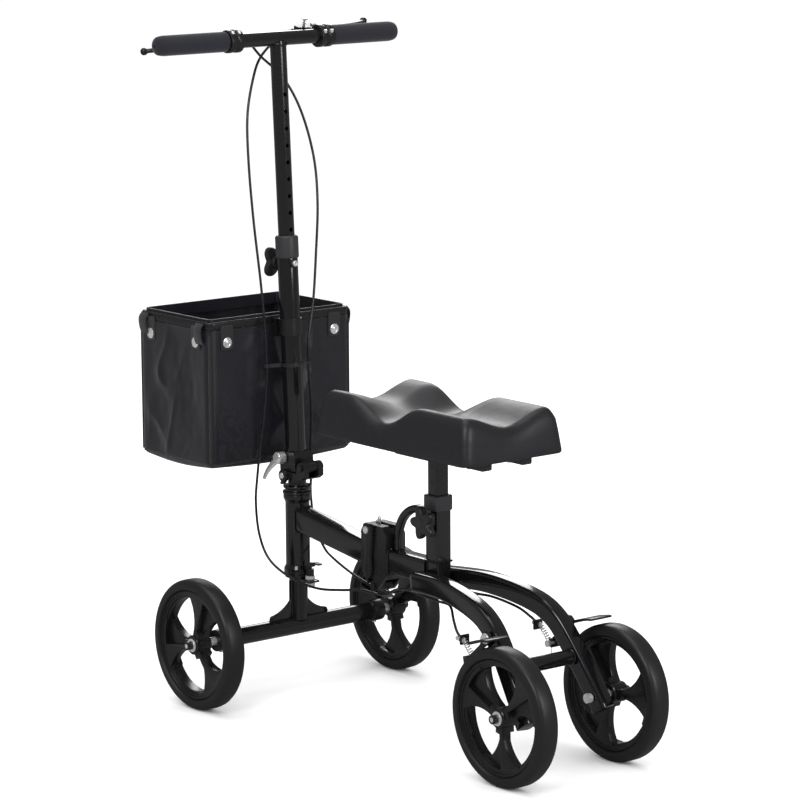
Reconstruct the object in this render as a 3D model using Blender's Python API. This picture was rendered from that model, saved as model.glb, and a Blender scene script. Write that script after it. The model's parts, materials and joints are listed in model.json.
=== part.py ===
"""Four-wheeled folding knee scooter: steerable front axle, sliding handlebar stem, knee pad, basket.

Units are metres. +X is forward, +Y is the rider's left, +Z is up. Sizes are written in
millimetres and multiplied by MM. Shapes are laid out in the rig frame, whose X starts at the
rear axle; the whole rig then hangs on one empty that centres it over the origin.
"""
import bpy
import bmesh
from math import asin, atan2, cos, hypot, pi, radians, sin, sqrt
from mathutils import Matrix, Vector

MM = 0.001

# ---- fits ---------------------------------------------------------------------------------------
GAP = 0.3 * MM                 # between pieces that touch
SLIDE = 0.5 * MM               # around a tube that telescopes
CLEAR = 3.0 * MM               # between pieces that pass each other

# ---- wheels -------------------------------------------------------------------------------------
WHEEL_R = 101.6 * MM           # outside of the tyre
TYRE_W = 34.0 * MM
TYRE_SEGMENTS = 36
RIM_R = 83.7 * MM              # bed that the tyre sits on
RIM_W = 27.0 * MM
RIM_BORE_R = 74.0 * MM
HUB_R = 15.0 * MM
HUB_W = 28.0 * MM
SPOKE_W = 22.0 * MM            # along the axle
SPOKE_WAIST = 7.0 * MM         # half width beside the hub
SPOKE_FLARE = 32.0 * MM        # what each side gains out to the rim
POCKET_DEPTH = 9.0 * MM
AXLE_R = 4.0 * MM
WHEELBASE = 623.0 * MM
REAR_TRACK = 212.0 * MM        # between wheel centres
FRONT_TRACK = 384.0 * MM
SPOKE_PHASE = {"rl": 28.0, "rr": 56.0, "fl": -8.0, "fr": 20.0}   # degrees, as parked

# ---- rear frame ---------------------------------------------------------------------------------
SEAT_X = 276.0 * MM            # seat tube centre ahead of the rear axle
SEAT_TUBE_W = 28.0 * MM
SEAT_POST_W = 23.0 * MM
SQUARE_WALL = 2.0 * MM
SEAT_TUBE_TOP = 350.0 * MM
COLLAR_W = 32.5 * MM
COLLAR_TOP = 366.0 * MM
COLLAR_H = 23.0 * MM
BEAM_W = 32.0 * MM
BEAM_H = 37.0 * MM
BEAM_WALL = 2.0 * MM
REAR_BEAM_Z = 247.0 * MM
LEG_W = 25.0 * MM
LEG_H = 30.0 * MM
LEG_WALL = 2.0 * MM
LEG_TOP_Z = 237.0 * MM
LEG_FRONT_X = 291.0 * MM
BRAKE_PIVOT = (72.0 * MM, 198.0 * MM)   # x and z of the brake arms' pivot
CROSS_R = 11.0 * MM
CROSS_AT = (38.0 * MM, 156.0 * MM)     # x and z of the rear cross tube
HANDLE_W = 14.0 * MM
HANDLE_T = 12.0 * MM

# ---- frame fold ---------------------------------------------------------------------------------
FOLD_AT = (408.0 * MM, 205.0 * MM)     # x and z of the frame hinge
CLAMP_W = 38.0 * MM
CLAMP_TOP = 300.0 * MM
CLAMP_DEPTH = 30.0 * MM
KNUCKLE_R = 9.0 * MM
KNUCKLE_W = 13.0 * MM          # half width of the middle knuckle
PIN_R = 3.5 * MM
STUD_R = 3.0 * MM
SEAT_KNOB_Z = 326.0 * MM

# ---- front frame and steering -------------------------------------------------------------------
HEAD_R = 19.0 * MM
HEAD_WALL = 2.0 * MM
HEAD_BOTTOM = 197.0 * MM
HEAD_TOP = 303.0 * MM
CUP_R = 22.0 * MM
CUP_H = 10.0 * MM
MAIN_BEAM_FRONT_Z = 276.0 * MM
STEERER_R = 14.3 * MM
STEERER_WALL = 2.0 * MM
AXLE_TUBE_R = 14.0 * MM
AXLE_TUBE_WALL = 2.0 * MM
AXLE_TUBE_L = 316.0 * MM
AXLE_BLOCK_R = 17.0 * MM
AXLE_BLOCK_W = 21.0 * MM
GUSSET_T = 5.0 * MM
GUSSET_REACH = 56.0 * MM
GUSSET_TOP = 176.0 * MM
LOCK_PLATE = (592.0 * MM, 176.0 * MM)    # x and z of the steering lock plunger

# ---- column, stem and handlebar -----------------------------------------------------------------
LEAN = radians(3.1)            # the column leans forward
FOOT_Z = 340.0 * MM            # bottom of the fold joint
COLUMN_HINGE = (-34.0 * MM, 19.0 * MM)  # behind the steering axis, above FOOT_Z
COLUMN_R = 15.9 * MM
COLUMN_WALL = 2.3 * MM
COLUMN_START = 38.0 * MM       # lengths along the column, from its foot
COLUMN_END = 352.0 * MM
BUSH_R = 18.0 * MM
BUSH_TOP = 377.0 * MM
STEM_R = 12.7 * MM
STEM_WALL = 1.8 * MM
STEM_START = 190.0 * MM
BAR_AT = 680.0 * MM
BAR_R = 11.1 * MM
BAR_L = 452.0 * MM
STEM_HOLE_R = 3.2 * MM
STEM_HOLE_PITCH = 26.0 * MM
STEM_HOLES = 11
GRIP_R = 15.5 * MM
GRIP_L = 130.0 * MM
PERCH_W = 24.0 * MM
LEVER_TURN = {"left": -9.0, "right": 17.0}   # degrees that each lever is turned up round the bar
BASKET_REAR = WHEELBASE + COLUMN_R + 22.1 * MM    # clears the bracket on the column
BASKET_X = (BASKET_REAR, BASKET_REAR + 188.0 * MM)
BASKET_W = 276.0 * MM
BASKET_Z = (361.0 * MM, 595.0 * MM)
BASKET_RIM_Z = 590.0 * MM
BASKET_RIM_H = 13.0 * MM
BASKET_RIM_T = 7.0 * MM
BASKET_SKIN = 2.0 * MM

# ---- seat ---------------------------------------------------------------------------------------
PAD_X = (99.0 * MM, 454.0 * MM)
PAD_W = 192.0 * MM
PAD_Z = (443.0 * MM, 511.0 * MM)
PAD_TAPER = 8.0 * MM           # how far each side leans in at the top
PAD_CORNER = 13.0 * MM         # radius of the corners in plan
PAD_DIP = 40.0 * MM
PAD_SADDLE_X = 306.0 * MM
PAD_SADDLE_REACH = 0.25        # share of the length on each side of the lowest place
PAD_TROUGH_REACH = 0.9         # share of the half width
RAIL_W = 20.0 * MM
RAIL_H = 13.0 * MM
RAIL_Y = 38.0 * MM
RAIL_X = (119.0 * MM, 405.0 * MM)
PLATE_T = 4.0 * MM
POST_BOTTOM = 245.0 * MM

CABLE_R = 2.0 * MM

X_MID = (BASKET_X[1] - WHEEL_R) / 2


# ---- scene helpers ------------------------------------------------------------------------------
def clear_scene():
    for thing in list(bpy.data.objects):
        bpy.data.objects.remove(thing, do_unlink=True)


def material(name, colour, roughness, metallic=0.0):
    """A Principled material of one colour."""
    made = bpy.data.materials.new(name)
    made.use_nodes = True
    shader = made.node_tree.nodes["Principled BSDF"]
    shader.inputs["Base Color"].default_value = (*colour, 1.0)
    shader.inputs["Roughness"].default_value = roughness
    shader.inputs["Metallic"].default_value = metallic
    made.diffuse_color = (*colour, 1.0)
    return made


clear_scene()
RIG = bpy.data.objects.new("rig", None)
RIG.location = (-X_MID, 0, 0)
bpy.context.collection.objects.link(RIG)

BLACK_PAINT = material("black_paint", (0.012, 0.012, 0.014), 0.22)
BLACK_CAST = material("black_cast", (0.015, 0.015, 0.016), 0.38)
STEEL = material("zinc_steel", (0.62, 0.62, 0.63), 0.28, 1.0)
CHROME = material("chrome", (0.75, 0.75, 0.76), 0.12, 1.0)
TYRE = material("tyre_rubber", (0.035, 0.035, 0.038), 0.62)
WHEEL_PLASTIC = material("wheel_plastic", (0.03, 0.03, 0.032), 0.5)
PAD_SKIN = material("pad_skin", (0.04, 0.04, 0.043), 0.5)
GRIP_FOAM = material("grip_foam", (0.055, 0.055, 0.058), 0.9)
GREY_PLASTIC = material("grey_plastic", (0.10, 0.10, 0.105), 0.5)
KNOB_PLASTIC = material("knob_plastic", (0.03, 0.03, 0.032), 0.42)
NYLON = material("black_nylon", (0.012, 0.012, 0.016), 0.55)
CABLE_SKIN = material("cable_skin", (0.02, 0.02, 0.02), 0.35)


def axis_empty(name, at):
    """An empty on a joint's axis, in the rig frame."""
    empty = bpy.data.objects.new(name, None)
    empty.location = at
    empty.parent = RIG
    bpy.context.collection.objects.link(empty)
    return empty


def add(name, mesh, mat, under=None, frame=Matrix()):
    """A named object whose mesh is laid out in frame, itself given in the rig frame."""
    made = bpy.data.objects.new(name, mesh)
    mesh.materials.clear()
    mesh.materials.append(mat)
    made.parent = under or RIG
    if under:
        made.matrix_parent_inverse = under.matrix_basis.inverted()
    made.matrix_basis = frame
    bpy.context.collection.objects.link(made)
    return made


def carve(target, mesh, operation="DIFFERENCE"):
    """Cut mesh, given in the target's own coordinates, out of target (or join it on)."""
    cutter = bpy.data.objects.new(target.name + "_cutter", mesh)
    cutter.parent = target
    cutter.hide_render = True
    cutter.display_type = "WIRE"
    bpy.context.collection.objects.link(cutter)
    step = target.modifiers.new(operation.lower(), "BOOLEAN")
    step.operation = operation
    step.solver = "EXACT"
    step.object = cutter


def join_on(target, mesh):
    carve(target, mesh, "UNION")


def settle(target):
    """Bake a carved template into one mesh and drop it with its cutters."""
    bpy.context.view_layer.update()
    seen = target.evaluated_get(bpy.context.evaluated_depsgraph_get())
    baked = bpy.data.meshes.new_from_object(seen)
    for thing in list(target.children):
        bpy.data.objects.remove(thing, do_unlink=True)
    bpy.data.objects.remove(target, do_unlink=True)
    return baked


# ---- mesh helpers -------------------------------------------------------------------------------
def finish(bm, name):
    """Weld, face outward, smooth within 35 degrees, and hand back the mesh."""
    bmesh.ops.remove_doubles(bm, verts=bm.verts, dist=1e-6)
    bmesh.ops.recalc_face_normals(bm, faces=bm.faces)
    mesh = bpy.data.meshes.new(name)
    bm.to_mesh(mesh)
    bm.free()
    mesh.shade_smooth()
    mesh.set_sharp_from_angle(angle=radians(35))
    return mesh


def skin(bm, rings, closed):
    """Quads between neighbouring rings of verts; closed also joins the last ring to the first."""
    pairs = list(zip(rings, rings[1:]))
    if closed:
        pairs.append((rings[-1], rings[0]))
    for low, high in pairs:
        count = len(low)
        for i in range(count):
            j = (i + 1) % count
            bm.faces.new((low[i], low[j], high[j], high[i]))


def loft(rings, name="loft", ring_shape=False):
    """A solid through rings of points, capped at its ends, or closed on itself when ring_shape."""
    bm = bmesh.new()
    made = [[bm.verts.new(p) for p in ring] for ring in rings]
    skin(bm, made, ring_shape)
    if not ring_shape:
        bm.faces.new(made[0])
        bm.faces.new(made[-1])
    return finish(bm, name)


def along(axis, u, v, h):
    """A point u, v across an axis and h along it, for axis X, Y or Z."""
    return {"X": Vector((h, u, v)), "Y": Vector((v, h, u)), "Z": Vector((u, v, h))}[axis]


def turned(profile, axis="Z", at=(0, 0, 0), segments=16, hollow=False, phase=0.5):
    """Turn a profile of (radius, height) points round an axis; hollow profiles close on themselves."""
    rings = []
    for radius, height in profile:
        turn = [2 * pi * (i + phase) / segments for i in range(segments)]
        rings.append([Vector(at) + along(axis, radius * cos(t), radius * sin(t), height) for t in turn])
    return loft(rings, "turned", ring_shape=hollow)


def rod(axis, at, radius, low, high, segments=16):
    return turned([(radius, low), (radius, high)], axis, at, segments)


def pipe(axis, at, radius, bore, low, high, segments=20):
    return turned([(radius, low), (radius, high), (bore, high), (bore, low)], axis, at, segments, True)


def box(low, high):
    """A plain block between two corners."""
    rings = []
    for z in (low[2], high[2]):
        xs, ys = (low[0], high[0]), (low[1], high[1])
        rings.append([Vector((xs[0], ys[0], z)), Vector((xs[1], ys[0], z)),
                      Vector((xs[1], ys[1], z)), Vector((xs[0], ys[1], z))])
    return loft(rings, "box")


def prism(outline, axis, low, high):
    """Extrude an outline of (u, v) points along an axis."""
    return loft([[along(axis, u, v, h) for u, v in outline] for h in (low, high)], "prism")


def side_plate(outline, low, high):
    """Extrude an outline of (x, z) points along Y."""
    return prism([(z, x) for x, z in outline], "Y", low, high)


def arc(centre, radius, start, end, steps):
    """Points on an arc, with angles in degrees."""
    turns = [radians(start + (end - start) * i / steps) for i in range(steps + 1)]
    return [(centre[0] + radius * cos(t), centre[1] + radius * sin(t)) for t in turns]


def rounded(width, height, radius, steps=2):
    """A rounded rectangle centred on zero."""
    corners = ((1, 1, 0), (-1, 1, 90), (-1, -1, 180), (1, -1, 270))
    points = []
    for sx, sy, start in corners:
        centre = (sx * (width / 2 - radius), sy * (height / 2 - radius))
        points += arc(centre, radius, start, start + 90, steps)
    return points


def smooth_route(points, spacing):
    """Even points on a Catmull-Rom curve through the route's own points."""
    route = [Vector(p) for p in points]
    route = [2 * route[0] - route[1]] + route + [2 * route[-1] - route[-2]]
    dense = []
    for a, b, c, d in zip(route, route[1:], route[2:], route[3:]):
        for k in range(24):
            t = k / 24
            dense.append(0.5 * (2 * b + (c - a) * t + (2 * a - 5 * b + 4 * c - d) * t * t
                                + (3 * b - a - 3 * c + d) * t ** 3))
    dense.append(route[-2])
    total = sum((q - p).length for p, q in zip(dense, dense[1:]))
    count = max(3, round(total / spacing))
    wanted = [total * i / count for i in range(count + 1)]
    even, gone, k = [], 0.0, 0
    for target in wanted:
        while k < len(dense) - 2 and gone + (dense[k + 1] - dense[k]).length < target:
            gone += (dense[k + 1] - dense[k]).length
            k += 1
        step = (dense[k + 1] - dense[k])
        share = min(1.0, (target - gone) / max(step.length, 1e-9))
        even.append(dense[k] + step * share)
    return even


def sweep(profile, path, across, wall=0.0):
    """Carry a (side, up) profile along a path; across is the sideways direction at each point.

    With a wall the result is an open-ended tube, whose inner profile is wall smaller all round.
    """
    outer, inner = [], []
    for i, point in enumerate(path):
        ahead = (path[min(i + 1, len(path) - 1)] - path[max(i - 1, 0)]).normalized()
        side = across[i] if isinstance(across, list) else across
        side = (side - ahead * side.dot(ahead)).normalized()
        up = ahead.cross(side)
        outer.append([point + side * a + up * b for a, b in profile])
        if wall:
            wide = max(a for a, _ in profile)
            tall = max(b for _, b in profile)
            shrink = ((wide - wall) / wide, (tall - wall) / tall)
            inner.append([point + side * a * shrink[0] + up * b * shrink[1] for a, b in profile])
    if wall:
        return loft(outer + inner[::-1], "tube", ring_shape=True)
    return loft(outer, "bar")


def cable(name, route, under=None):
    """A cable housing: a thin round bar along the points of a smooth route."""
    curve = bpy.data.curves.new(name, "CURVE")
    curve.dimensions = "3D"
    curve.bevel_depth = CABLE_R
    curve.bevel_resolution = 2
    curve.use_fill_caps = True
    line = curve.splines.new("POLY")
    line.points.add(len(route) - 1)
    for spot, point in zip(line.points, route):
        spot.co = (*point, 1.0)
    return add(name, curve, CABLE_SKIN, under)


# ---- wheels -------------------------------------------------------------------------------------
def spoke_half_width(radius):
    share = (radius - HUB_R) / (RIM_BORE_R + 4 * MM - HUB_R)
    return SPOKE_WAIST + SPOKE_FLARE * max(0.0, share) ** 2


def spoke_outline(start, end, low, high, turn):
    """An hourglass sector between two radii; low and high are shares of its half width."""
    radii = [start + (end - start) * i / 3 for i in range(4)]

    def edge(share):
        points = []
        for r in radii:
            angle = asin(min(0.99, spoke_half_width(r) / r)) * share + turn
            points.append((r * cos(angle), r * sin(angle)))
        return points

    span = asin(spoke_half_width(end) / end)
    bow = [turn + span * (high + (low - high) * i / 3) for i in range(1, 3)]
    rim = [(end * cos(t), end * sin(t)) for t in bow]
    return edge(high) + rim + edge(low)[::-1]


def wheel_core_mesh():
    """Rim, three pocketed spokes and hub as one moulding, its outer face towards +Y."""
    half = RIM_W / 2
    lip, well = RIM_R - 3.2 * MM, RIM_BORE_R
    rim = [(RIM_R, -half), (RIM_R, half), (lip, half), (well, 8 * MM), (well, -8 * MM), (lip, -half)]
    core = add("wheel_template", turned(rim, "Y", segments=TYRE_SEGMENTS, hollow=True), WHEEL_PLASTIC)
    hub = [(HUB_R - 1.5 * MM, -HUB_W / 2), (HUB_R, 1.5 * MM - HUB_W / 2),
           (HUB_R, HUB_W / 2 - 1.5 * MM), (HUB_R - 1.5 * MM, HUB_W / 2)]
    for k in range(3):
        outline = spoke_outline(HUB_R - 5 * MM, RIM_BORE_R + 4 * MM, -1, 1, 2 * pi * k / 3)
        join_on(core, side_plate(outline, -SPOKE_W / 2, SPOKE_W / 2))
    join_on(core, turned(hub, "Y", segments=14))
    for k in range(3):
        turn = 2 * pi * k / 3
        outer = spoke_outline(HUB_R + 7 * MM, RIM_BORE_R + 0.6 * MM, -0.1, 0.78, turn)
        inner = spoke_outline(HUB_R + 7 * MM, RIM_BORE_R + 0.6 * MM, -0.78, 0.1, turn)
        carve(core, side_plate(outer, SPOKE_W / 2 - POCKET_DEPTH, SPOKE_W / 2 + CLEAR))
        carve(core, side_plate(inner, -SPOKE_W / 2 - CLEAR, POCKET_DEPTH - SPOKE_W / 2))
    carve(core, rod("Y", (0, 0, 0), AXLE_R + GAP, -HUB_W, HUB_W, 14))
    return settle(core)


def tyre_mesh():
    """A solid tyre whose lowest facet lies flat on the floor."""
    crown = WHEEL_R / cos(pi / TYRE_SEGMENTS)
    bed = (RIM_R + GAP) / cos(pi / TYRE_SEGMENTS)
    half = TYRE_W / 2
    side = [(bed, 0.80 * half), (crown - 8 * MM, half), (crown - 2.6 * MM, 0.72 * half), (crown, 0.30 * half)]
    profile = side + [(r, -y) for r, y in side[::-1]]
    return turned(profile, "Y", segments=TYRE_SEGMENTS, hollow=True)


def wheel_place(corner):
    """Where a wheel's centre is, and +1 on the left or -1 on the right."""
    side = 1 if corner[1] == "l" else -1
    if corner[0] == "r":
        return Vector((0, side * REAR_TRACK / 2, WHEEL_R)), side
    return Vector((WHEELBASE, side * FRONT_TRACK / 2, WHEEL_R)), side


def build_wheels():
    core, tyre = wheel_core_mesh(), tyre_mesh()
    for corner, parked in SPOKE_PHASE.items():
        at, side = wheel_place(corner)
        spin = axis_empty("spin_" + corner, at)
        face = Matrix.Rotation(0 if side > 0 else pi, 4, "Z")
        phase = Matrix.Rotation(-radians(parked) if side > 0 else pi + radians(parked), 4, "Y")
        add("wheel_" + corner, core.copy(), WHEEL_PLASTIC, spin, Matrix.Translation(at) @ face @ phase)
        add("tyre_" + corner, tyre.copy(), TYRE, spin, Matrix.Translation(at))


def axle_bolt(corner, inner_end, spacer, nut):
    """Socket-head bolt and spacer through the hub; lengths are from the wheel centre, outward."""
    at, side = wheel_place(corner)
    face = HUB_W / 2 + GAP
    profile = [(AXLE_R, inner_end)]
    if nut:
        profile = [(AXLE_R, inner_end - 8 * MM), (7.2 * MM, inner_end - 7.5 * MM), (7.2 * MM, inner_end),
                   (AXLE_R, inner_end)]
    profile += [(AXLE_R, spacer), (7 * MM, spacer), (7 * MM, -face), (AXLE_R, -face), (AXLE_R, face),
                (8.5 * MM, face), (8.5 * MM, face + 1.5 * MM), (6.5 * MM, face + 1.5 * MM),
                (6.5 * MM, face + 9.5 * MM), (5.9 * MM, face + 10 * MM)]
    mesh = turned([(r, side * h) for r, h in profile], "Y", at, 12)
    add("axle_bolt_" + corner, mesh, STEEL)


# ---- rear frame ---------------------------------------------------------------------------------
def leg_y(x):
    """How far each leg's centre line stands off the middle at x: the legs splay towards the axle."""
    front, rear = BEAM_W / 2 + LEG_W / 2 + GAP, REAR_TRACK / 2 - TYRE_W / 2 - LEG_W / 2 - 5.5 * MM
    return front + (rear - front) * (LEG_FRONT_X - x) / LEG_FRONT_X


def leg_path(side):
    """The leg's centre line: level beside the seat tube, then an arc down past the rear axle."""
    sketch = [(LEG_FRONT_X / MM, -2), (265, 0), (226, 2), (195, 1), (155, -4), (118, -12), (95, -21), (75, -35),
              (58, -54), (40, -78), (20, -106)]
    path = [Vector((x * MM, side * leg_y(x * MM), LEG_TOP_Z + drop * MM)) for x, drop in sketch]
    foot = Vector((0, side * leg_y(0), WHEEL_R))
    return path + [foot, foot + (foot - path[-1]) * 0.6]


def build_rear_frame():
    outer = rounded(SEAT_TUBE_W, SEAT_TUBE_W, 2.5 * MM, 1)
    foot = REAR_BEAM_Z - BEAM_H / 2
    at = Vector((SEAT_X, 0, 0))
    upright = [at + Vector((0, 0, foot)), at + Vector((0, 0, SEAT_TUBE_TOP))]
    tube = add("seat_tube", sweep(outer, upright, Vector((0, 1, 0)), SQUARE_WALL), BLACK_PAINT)
    carve(tube, rod("Y", (SEAT_X, 0, SEAT_KNOB_Z), STUD_R + GAP, 0, SEAT_TUBE_W, 14))

    def square(width, z):
        return [at + Vector((a, b, z)) for a, b in rounded(width, width, 2.2 * MM, 1)]

    lip = SEAT_TUBE_TOP + GAP
    collar = [square(COLLAR_W, COLLAR_TOP - COLLAR_H), square(COLLAR_W, COLLAR_TOP),
              square(SEAT_POST_W + 2 * SLIDE, COLLAR_TOP), square(SEAT_POST_W + 2 * SLIDE, lip),
              square(SEAT_TUBE_W + 2 * GAP, lip), square(SEAT_TUBE_W + 2 * GAP, COLLAR_TOP - COLLAR_H)]
    add("seat_collar", loft(collar, "collar", True), GREY_PLASTIC)

    beam = rounded(BEAM_W, BEAM_H, 6 * MM, 2)
    ends = [Vector((FOLD_AT[0] - CLAMP_DEPTH - GAP, 0, REAR_BEAM_Z)),
            Vector((SEAT_X + SEAT_TUBE_W / 2 + GAP, 0, REAR_BEAM_Z))]
    add("rear_beam", sweep(beam, ends, Vector((0, 1, 0)), BEAM_WALL), BLACK_PAINT)

    for side, word in ((1, "left"), (-1, "right")):
        path = leg_path(side)
        leg = add("leg_" + word, sweep(rounded(LEG_W, LEG_H, 5 * MM, 1), path, Vector((0, 1, 0)), LEG_WALL),
                  BLACK_PAINT)
        carve(leg, rod("Y", (0, 0, WHEEL_R), AXLE_R + GAP, -REAR_TRACK, REAR_TRACK))
        carve(leg, rod("Y", (BRAKE_PIVOT[0], 0, BRAKE_PIVOT[1]), PIN_R + GAP, -REAR_TRACK, REAR_TRACK))
        x, _, z = cable_stop(side)
        y = sorted((side * (leg_y(x) + LEG_W / 2 - 6 * MM), side * (leg_y(x) + LEG_W / 2 + 15 * MM)))
        join_on(leg, box((x - 3.5 * MM, y[0], z - 6 * MM), (x, y[1], z + 33 * MM)))
        carve(leg, rod("X", (0, side * (leg_y(x) + LEG_W / 2 + 9 * MM), z), 1.5 * MM, x - 9 * MM, x + 9 * MM, 12))

    inner = leg_y(CROSS_AT[0] + CROSS_R) - 0.51 * LEG_W - GAP
    add("rear_cross_tube", pipe("Y", (CROSS_AT[0], 0, CROSS_AT[1]), CROSS_R, CROSS_R - 2 * MM, -inner, inner, 20),
        BLACK_PAINT)

    rise = REAR_BEAM_Z + BEAM_H / 2 + GAP
    front = SEAT_X + SEAT_TUBE_W / 2
    loop = [Vector((front + x * MM, 0, rise + z * MM)) for x, z in
            ((81, 0.3), (81, 16), (78, 33), (70, 49), (58, 61), (42, 69), (24, 71), (2.5, 66))]
    loop = smooth_route(loop, 12 * MM)
    add("carry_handle", sweep(rounded(HANDLE_W, HANDLE_T, 4 * MM, 2), loop, Vector((0, 1, 0))), BLACK_PAINT)

    clamp_rear = add("clamp_rear", side_plate(clamp_outline(-1), -CLAMP_W / 2, CLAMP_W / 2), BLACK_CAST)
    x, z = FOLD_AT
    carve(clamp_rear, box((x - 40 * MM, -KNUCKLE_W - GAP, z - 20 * MM),
                          (x + 20 * MM, KNUCKLE_W + GAP, z + KNUCKLE_R + CLEAR)))
    carve(clamp_rear, rod("Y", (x, 0, z), PIN_R + GAP, -CLAMP_W, CLAMP_W))
    carve(clamp_rear, box((x - 24 * MM, -5.5 * MM, CLAMP_TOP - 30 * MM),
                          (x + 5 * MM, 5.5 * MM, CLAMP_TOP + CLEAR)))


def cable_stop(side):
    """Where each brake cable's housing ends, on a bracket under the leg."""
    x = BRAKE_PIVOT[0] + 61 * MM
    return Vector((x, side * (leg_y(x) + LEG_W / 2 + 9 * MM), BRAKE_PIVOT[1] - 14 * MM))


def clamp_outline(way):
    """Half of the frame clamp in X and Z: way -1 is the rear half, +1 the front half."""
    x, z = FOLD_AT
    top = CLAMP_TOP - z
    foot = REAR_BEAM_Z - BEAM_H / 2 - 3 * MM - z
    points = [(GAP, KNUCKLE_R + 1 * MM), (GAP, top), (CLAMP_DEPTH - 8 * MM, top), (CLAMP_DEPTH, top - 12 * MM),
              (CLAMP_DEPTH, foot), (CLAMP_DEPTH - 12 * MM, 6 * MM)]
    points += arc((0, 0), KNUCKLE_R, -30, -270, 8)
    return [(x + way * u, z + w) for u, w in points]


def build_front_frame(fold, latch):
    x, z = FOLD_AT
    clamp = add("clamp_front", side_plate(clamp_outline(1), -CLAMP_W / 2, CLAMP_W / 2), BLACK_CAST, fold)
    for low, high in ((-CLAMP_W, GAP - KNUCKLE_W), (KNUCKLE_W - GAP, CLAMP_W)):
        carve(clamp, box((x - 40 * MM, low, z - 20 * MM), (x + 14 * MM, high, z + KNUCKLE_R + CLEAR)))
    join_on(clamp, turned([(5.5 * MM, -CLAMP_W / 2 - 3 * MM), (5.5 * MM, -CLAMP_W / 2 - GAP),
                           (PIN_R, -CLAMP_W / 2 - GAP), (PIN_R, CLAMP_W / 2 + GAP),
                           (5.5 * MM, CLAMP_W / 2 + GAP), (5.5 * MM, CLAMP_W / 2 + 3 * MM)], "Y", (x, 0, z), 16))
    carve(clamp, box((x - 5 * MM, -5.5 * MM, CLAMP_TOP - 18 * MM), (x + 15 * MM, 5.5 * MM, CLAMP_TOP + CLEAR)))
    carve(clamp, rod("Y", (x + 9 * MM, 0, CLAMP_TOP - 8 * MM), STUD_R + GAP, -CLAMP_W, CLAMP_W, 14))
    join_on(clamp, box((x - 20 * MM, -3 * MM, CLAMP_TOP - 28 * MM), (x + 12 * MM, 3 * MM, CLAMP_TOP - 21 * MM)))

    pivot = (x + 9 * MM, 0, CLAMP_TOP - 8 * MM)
    lever = add("frame_latch", rod("Y", pivot, STUD_R, -CLAMP_W / 2 - 2 * MM, CLAMP_W / 2 + 3 * MM, 14), BLACK_CAST, latch)
    join_on(lever, rod("Y", pivot, 5.2 * MM, -5.2 * MM, 5.2 * MM, 18))
    join_on(lever, box((x + 5 * MM, -5.2 * MM, CLAMP_TOP - 8 * MM), (x + 13 * MM, 5.2 * MM, CLAMP_TOP + 6 * MM)))
    side = CLAMP_W / 2 + GAP
    grip = [(-12, 6), (-6, 10), (6, 10), (11, 4), (10, -20), (7, -38), (10, -58), (6, -72), (-4, -74), (-9, -60),
            (-8, -40), (-11, -18)]
    join_on(lever, side_plate([(pivot[0] + a * MM, pivot[2] + b * MM) for a, b in grip], side, side + 4 * MM))

    at = (WHEELBASE, 0, 0)
    bore, seat = STEERER_R + GAP, HEAD_R - HEAD_WALL
    half = [(bore, HEAD_TOP - 2 * MM), (bore, HEAD_TOP + CUP_H), (CUP_R, HEAD_TOP + CUP_H), (CUP_R, HEAD_TOP + CLEAR),
            (CUP_R - 2 * MM, HEAD_TOP - 2 * MM), (HEAD_R, HEAD_TOP - 2.5 * MM)]
    other = [(r, HEAD_TOP + HEAD_BOTTOM - h) for r, h in half[::-1]]
    profile = [(seat, HEAD_TOP - 2 * MM)] + half + other + [(seat, HEAD_BOTTOM + 2 * MM)]
    add("head_tube", turned(profile, "Z", at, 22, True), BLACK_PAINT, fold)

    beam = add("main_beam", sweep(rounded(BEAM_W, BEAM_H, 6 * MM, 2),
                                  [Vector((WHEELBASE, 0, MAIN_BEAM_FRONT_Z)),
                                   Vector((x + CLAMP_DEPTH - 4 * MM, 0, REAR_BEAM_Z + 4 * MM))],
                                  Vector((0, 1, 0)), BEAM_WALL), BLACK_PAINT, fold)
    carve(beam, rod("Z", at, HEAD_R + GAP, 0.1, 0.5, 22))
    carve(beam, box((x - 10 * MM, -BEAM_W, 0), (x + CLAMP_DEPTH + GAP, BEAM_W, 0.5)))
    carve(beam, box((WHEELBASE, -BEAM_W, 0), (WHEELBASE + BEAM_W, BEAM_W, 0.5)))


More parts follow.
